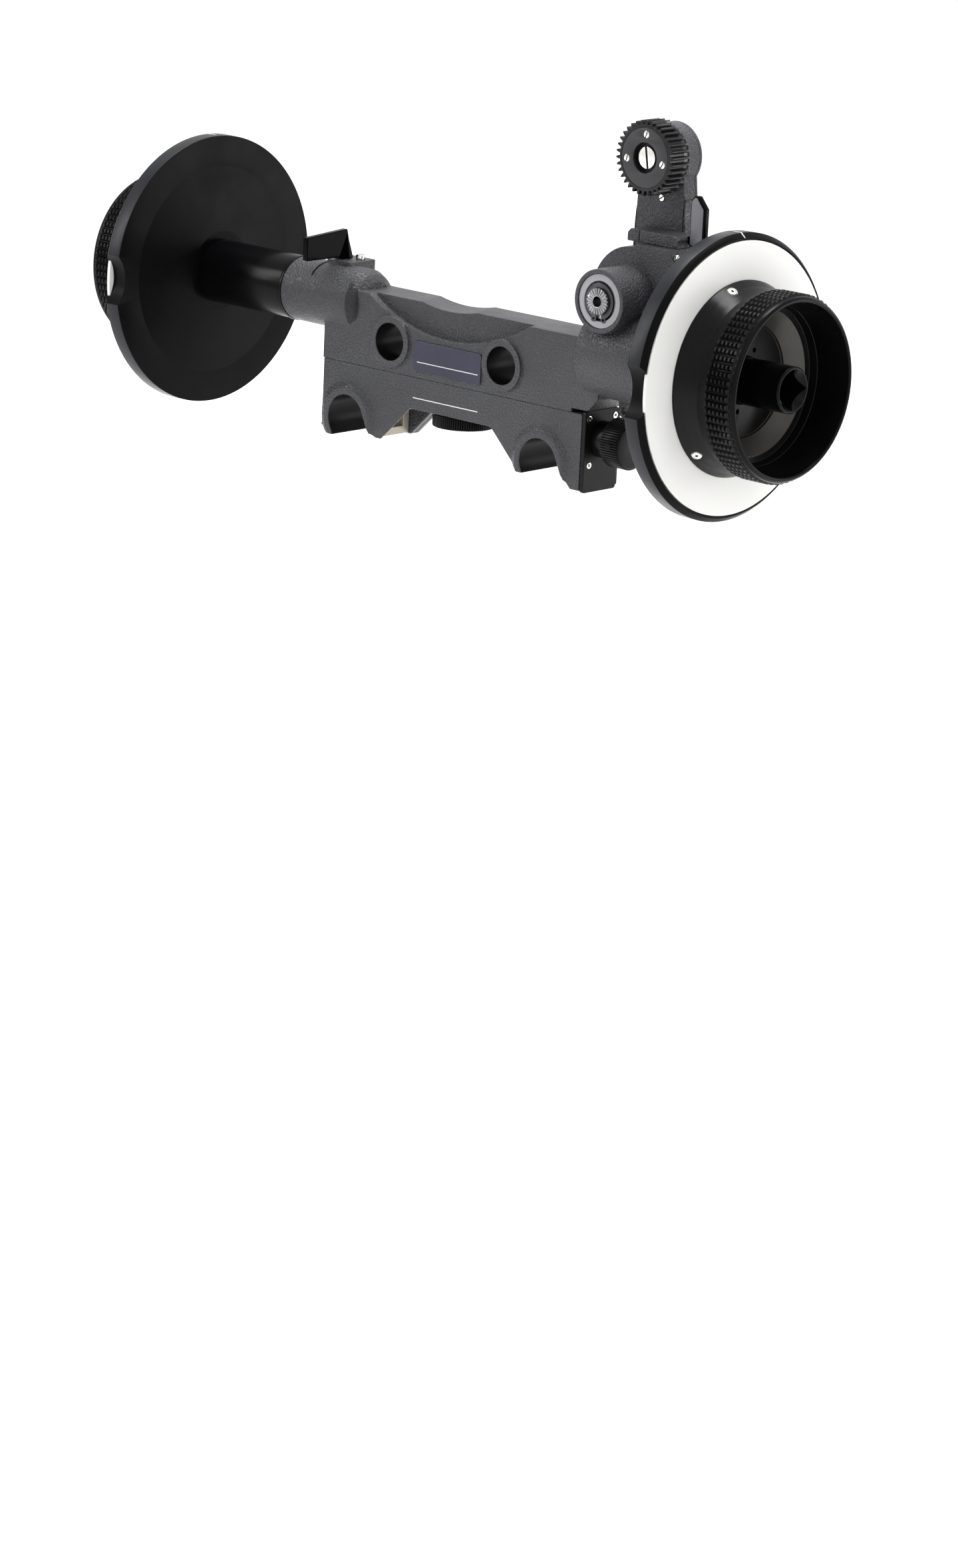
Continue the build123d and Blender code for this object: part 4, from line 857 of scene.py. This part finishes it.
# retaining ring, open at the bottom between two drilled ears
clip_outline = arc(7.0, -62, 304, 40)
clip_outline += [(-3.9, -6.9), (-3.4, -8.0), (-1.9, -8.1), (-1.2, -7.2), (-1.2, -5.25)]
clip_outline += arc(5.25, 257, -334, 32)
clip_outline += [(1.2, -7.2), (1.9, -8.1), (3.4, -8.0), (3.9, -6.9)]
ear_holes = [ring(0.55, 16, (x, -6.9)) for x in (-2.4, 2.4)]
clip = plate("output_retaining_clip", [clip_outline] + ear_holes, OUTPUT_AXIS, "front",
             6.7, 7.7, 0.1)
stand_for(paint(clip, CLIP), "output_circlip")


# ---------------------------------------------------------------- gear cover and screws
def slotted(radius, slot, turn, origin, facing, low, high, bevel, center=(0, 0)):
    """Cheese head split by a driver slot, on a foot painted dark as slot shadow."""
    start = atan2(slot / 2, sqrt(radius * radius - slot * slot / 4))
    halves = []
    for sign in (1, -1):
        angles = [start + (pi - 2 * start) * i / 24 for i in range(25)]
        half = [(radius * cos(a), sign * radius * sin(a)) for a in angles]
        halves.append(spun(half, turn, center))
    head = plate("head", halves, origin, facing, low, high, bevel)
    floor = low + (high - low) * 0.45
    foot = plate("foot", [ring(radius * 0.98, 32, center)], origin, facing, low - 0.2, floor)
    return [head, slot_shadow_floor(foot)]


cover_spots = [(9.0 * cos(radians(a)), 9.0 * sin(radians(a))) for a in (88, 187, 350)]
cover_loops = [ring(11.45, 96), ring(5.9, 64)] + [ring(1.45, 24, spot) for spot in cover_spots]
cover = plate("gear_cover_plate", cover_loops, LENS_AXIS, "front", -15.0, -14.2, 0.12)
stand_for(paint(cover, COVER), "gear_cover_disc")
cover_screws = []
for spot, turn in zip(cover_spots, (70, 75, 60)):
    cover_screws += slotted(1.35, 0.42, turn, LENS_AXIS, "front", -14.8, -14.1, 0.1, spot)
stand_for(paint_screws(join("gear_cover_screw_set", cover_screws)), "gear_cover_screws")

# piece, node, radius, slot, turn, origin, facing, low, high, bevel
for name, node, *head in (
    ("gear_centre_screw_head", "gear_centre_screw", 4.2, 0.95, 100, LENS_AXIS, "front",
     -17.0, -15.3, 0.25),
    ("ear_screw_head", "ear_screw", 1.75, 0.5, 20, (X_MID - 64.6, 16.8, 0), "top",
     EAR_TOP - 0.4, EAR_TOP + 2.2, 0.2),
    ("side_screw_head", "side_screw", 1.45, 0.45, 40, (0, 13.7, 86.0), "right",
     OUT_X + 18.4, OUT_X + 19.3, 0.15),
    ("arm_screw_head", "arm_screw", 1.28, 0.4, 30, (OUT_X + 0.4, 0, 105.7), "front",
     -25.5, -24.8, 0.12),
):
    stand_for(paint_screws(join(name, slotted(*head))), node)

END_PLATE_FACE = X_MID + 74.3
heads = []
for y, z in ((17.5, 20.4), (3.5, 2.2), (2.6, 20.4), (17.0, 2.0)):
    spot = (END_PLATE_FACE, y, z)
    heads.append(plate("head", [ring(1.3, 28), cross(1.7, 0.4)], spot, "right", -0.35, 0.08, 0.1))
    heads.append(slot_shadow_floor(plate("foot", [ring(1.28, 24)], spot, "right", -1.2, -0.3)))
stand_for(paint_screws(join("end_plate_cross_screws", heads)), "end_plate_screws")

# ---------------------------------------------------------------- clamp knob and thumb screw
KNOB_X, KNOB_Y, KNOB_Z = END_PLATE_FACE + 0.3, 10.5, 11.8
KNOB_AXIS = (0, KNOB_Y, KNOB_Z)
FLUTE_START, FLUTE_END, CAP_START = KNOB_X + 6.7, KNOB_X + 15.2, KNOB_X + 15.1
THUMB_AXIS = (X_MID, 12.0, 0)
THUMB_BOTTOM, THUMB_TOP, THUMB_REACH = 4.2, 9.2, 31.2

knob_hub = rod("knob_hub", KNOB_X, KNOB_X + 6.8, 7.2, KNOB_AXIS, segments=64, radius=0.25)
flutes = plate("knob_flutes", [fluted(9.7, 0.45, 60, 0.45)], (0, KNOB_Y, KNOB_Z), "right",
               FLUTE_START, FLUTE_END, 0.2)
cap = lathe("knob_cap", [
    (CAP_START, AXIS_R), (CAP_START, 9.2), (CAP_START + 0.6, 8.8), (CAP_START + 0.6, 2.2),
    (CAP_START + 0.1, 2.0), (CAP_START + 0.1, AXIS_R),
], KNOB_AXIS, segments=96, radius=0.2)
stand_for(paint(join("clamp_knob_turned", [knob_hub, flutes, cap]), BLACK), "clamp_knob")
# dark plug flush with the flutes in place of the tommy hole: painted shade
tommy_hole_shade = rod("knob_tommy_hole_shade", KNOB_Y - 9.8, KNOB_Y - 8.6, 1.3, (KNOB_X + 11.2, 0, KNOB_Z), "Y",
            radius=0.05)
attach(paint(tommy_hole_shade, HOLE_SHADE), "knob")
dot = rod("knob_centre_dot", CAP_START, CAP_START + 0.7, 1.9, KNOB_AXIS, radius=0.15)
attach(paint(dot, STEEL), "knob")

thumb_head = plate("thumb_head", [fluted(12.4, 0.45, 84, 0.4)], THUMB_AXIS, "top",
                   THUMB_BOTTOM, THUMB_TOP, 0.3)
thumb_stem = rod("thumb_stem", THUMB_TOP - 0.1, THUMB_REACH, 3.0, THUMB_AXIS, "Z", segments=48,
                 radius=0.2)
thumb = join("bridge_thumb_screw", [thumb_head, thumb_stem])
stand_for(paint(thumb, BLACK), "bridge_thumbscrew")

# ---------------------------------------------------------------- extension clamp lever
CLAMP_X, CLAMP_Y, CLAMP_BOTTOM = X_MID - 70.0, 14.0, EAR_TOP + 0.3
HUB_HEIGHT = 0.7

blade_outline = rounded([(-23.5, 0.7), (-23.5, 10.1), (-0.8, 11.9), (2.2, 0.6)], 0.7, 4)
blade = plate("clamp_blade", [blade_outline], (CLAMP_X, CLAMP_Y, CLAMP_BOTTOM), "right",
              -1.3, 1.3, 0.35)
# foot round the bolt, drawn up to a short ridge under the blade
corners = [(1.25, -5.3), (3.0, -0.9), (2.2, 1.8), (-2.2, 1.8), (-3.0, -0.9), (-1.25, -5.3)]
points = [(x, y, z) for x, y in corners for z in (0.0, HUB_HEIGHT)]
points += [(x, -1.0, 11.0) for x in (-1.2, 1.2)]
hub = hull("clamp_hub", [(CLAMP_X + x, CLAMP_Y + y, CLAMP_BOTTOM + z) for x, y, z in points])
lever = join("extension_clamp_thumb_lever", [blade, hub], SMALL_ANGLE)
stand_for(paint(lever, GLOSS), "extension_clamp_lever")

# ---------------------------------------------------------------- arm lock lever
LEVER_X, LEVER_Y, LEVER_Z = OUT_X + 19.2, 21.5, 92.1
LEVER_AXIS = (LEVER_X, 0, LEVER_Z)

blade_outline = rounded(
    [(0, -2.0), (0, 15.6), (1.5, 17.4), (3.1, 17.4), (7.0, 12.8), (7.0, 0.6), (4.6, -2.0)], 0.6, 4,
)
back = plate("lever_back", [blade_outline], LEVER_AXIS, "front",
             -LEVER_Y - 1.45, -LEVER_Y + 1.25, 0.3)
pin = rod("lever_pin", LEVER_X - 9, LEVER_X + 0.5, 1.4, (0, LEVER_Y, LEVER_Z))
stand_for(paint(join("arm_lock_blade", [back, pin]), GLOSS), "arm_lock_lever")
face_outline = rounded(
    [(0.5, -1.4), (0.5, 15.3), (1.8, 16.8), (2.8, 16.8), (6.3, 12.6), (6.3, 0.9), (4.2, -1.4)], 0.5, 4,
)
face = plate("arm_lock_face", [face_outline], LEVER_AXIS, "front",
             -LEVER_Y + 1.2, -LEVER_Y + 1.45, 0.08)
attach(paint(face, LEVER), "arm_lock")

# ---------------------------------------------------------------- bare rules on label and bridge
for name, loop, low, slot in (
    ("label_rule", rect(32.7, 0.35, (X_MID + 1.45, 28.8)), 0.49, "label"),
    ("bridge_rule", rect(34.9, 0.4, (X_MID + 0.65, 14.15)), 0.0, "cast"),
):
    rule = plate(name, [loop], (0, 0, 0), "front", low, low + 0.05)
    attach(paint(rule, RULE), "housing")

# ---------------------------------------------------------------- stage
FLOOR_Z, FLOOR_HALF = -0.16, 6  # metres
FLOOR_GLOW = 0.55


def maximum(tree, a, b):
    node = tree.nodes.new("ShaderNodeMath")
    node.operation = "MAXIMUM"
    link(tree, a, node.inputs[0])
    link(tree, b, node.inputs[1])
    return node.outputs[0]


def stage_material():
    """Pale floor that takes a soft shadow and fades to the white of the background."""
    mat = bpy.data.materials.new("stage_white")
    mat.use_nodes = True
    tree = mat.node_tree
    bsdf = tree.nodes["Principled BSDF"]
    bsdf.inputs["Base Color"].default_value = (0.88, 0.88, 0.88, 1)
    bsdf.inputs["Roughness"].default_value = 0.9
    bsdf.inputs["Specular IOR Level"].default_value = 0.1
    bsdf.inputs["Emission Color"].default_value = (1, 1, 1, 1)
    path = tree.nodes.new("ShaderNodeLightPath")
    glow = tree.nodes.new("ShaderNodeMath")
    glow.operation = "MULTIPLY"
    glow.inputs[1].default_value = FLOOR_GLOW
    seen = maximum(tree, path.outputs["Is Camera Ray"], path.outputs["Is Glossy Ray"])
    link(tree, seen, glow.inputs[0])
    link(tree, glow.outputs[0], bsdf.inputs["Emission Strength"])
    return mat


floor_mesh = bpy.data.meshes.new("floor")
corners = [(x * FLOOR_HALF, y * FLOOR_HALF, FLOOR_Z) for x, y in ((-1, -1), (1, -1), (1, 1), (-1, 1))]
floor_mesh.from_pydata(corners, [], [(0, 1, 2, 3)])
floor = new_object("floor", floor_mesh)
paint(floor, stage_material())


# ---------------------------------------------------------------- surroundings, light and camera
def white_world():
    """White to the camera, to mirrors and through glass; a soft sky for everything else."""
    world = bpy.data.worlds.new("studio")
    world.use_nodes = True
    tree = world.node_tree
    tree.nodes.clear()
    path = tree.nodes.new("ShaderNodeLightPath")
    coords = tree.nodes.new("ShaderNodeTexCoord")
    split = tree.nodes.new("ShaderNodeSeparateXYZ")
    link(tree, coords.outputs["Generated"], split.inputs["Vector"])
    sky = tree.nodes.new("ShaderNodeMapRange")
    for key, value in (("From Min", -0.1), ("From Max", 0.9), ("To Min", 0.2), ("To Max", 0.8)):
        sky.inputs[key].default_value = value
    link(tree, split.outputs["Z"], sky.inputs["Value"])
    ambient = tree.nodes.new("ShaderNodeBackground")
    ambient.inputs["Color"].default_value = (1, 1, 1, 1)
    link(tree, sky.outputs["Result"], ambient.inputs["Strength"])
    white = tree.nodes.new("ShaderNodeBackground")
    white.inputs["Color"].default_value = (1, 1, 1, 1)
    white.inputs["Strength"].default_value = 1.0
    seen = maximum(tree, path.outputs["Is Camera Ray"], path.outputs["Is Transmission Ray"])
    seen = maximum(tree, seen, path.outputs["Is Glossy Ray"])
    blend = tree.nodes.new("ShaderNodeMixShader")
    link(tree, seen, blend.inputs["Fac"])
    link(tree, ambient.outputs[0], blend.inputs[1])
    link(tree, white.outputs[0], blend.inputs[2])
    output = tree.nodes.new("ShaderNodeOutputWorld")
    link(tree, blend.outputs[0], output.inputs["Surface"])
    return world


def lamp(name, place, target, size, power):
    light = bpy.data.lights.new(name, "AREA")
    light.shape = "RECTANGLE"
    light.size, light.size_y = size
    light.energy = power
    obj = new_object(name, light)
    obj.location = place
    obj.rotation_euler = (Vector(target) - Vector(place)).to_track_quat("-Z", "Y").to_euler()
    obj.visible_camera = False


bpy.context.scene.world = white_world()
UNIT_MIDDLE = (0.05, 0.0, 0.045)
lamp("top_box", (0.0, 0.25, 1.25), UNIT_MIDDLE, (1.3, 0.4), 22)
lamp("left_box", (-1.0, -1.0, 0.75), UNIT_MIDDLE, (0.3, 0.9), 8)
lamp("right_box", (1.5, -0.3, 0.6), UNIT_MIDDLE, (1.2, 1.2), 3.2)
lamp("back_box", (1.04, 1.12, 0.13), (-0.08, 0.0, 0.046), (0.5, 0.5), 4)

CAMERA_PLACE = Vector((1.37614, -1.43371, 0.39697))
FOCAL_PIXELS, FRAME_PIXELS, SENSOR = 7576.3, 2356, 36.0
azimuth, elevation, roll = radians(42.11), radians(15.38), radians(2.71)
back = Vector((sin(azimuth) * cos(elevation), -cos(azimuth) * cos(elevation), sin(elevation)))
right = Vector((cos(azimuth), sin(azimuth), 0))
up = back.cross(right)
cam_x = cos(roll) * right + sin(roll) * up
cam_y = -sin(roll) * right + cos(roll) * up
camera_data = bpy.data.cameras.new("camera")
camera_data.sensor_fit = "VERTICAL"
camera_data.sensor_height = SENSOR
camera_data.sensor_width = SENSOR
camera_data.lens = SENSOR * FOCAL_PIXELS / FRAME_PIXELS
camera_data.clip_start = 0.05
camera = new_object("camera", camera_data)
view = Matrix((cam_x, cam_y, back)).transposed().to_4x4()
camera.matrix_world = Matrix.Translation(CAMERA_PLACE) @ view
bpy.context.scene.camera = camera
bpy.context.scene.view_settings.view_transform = "Standard"
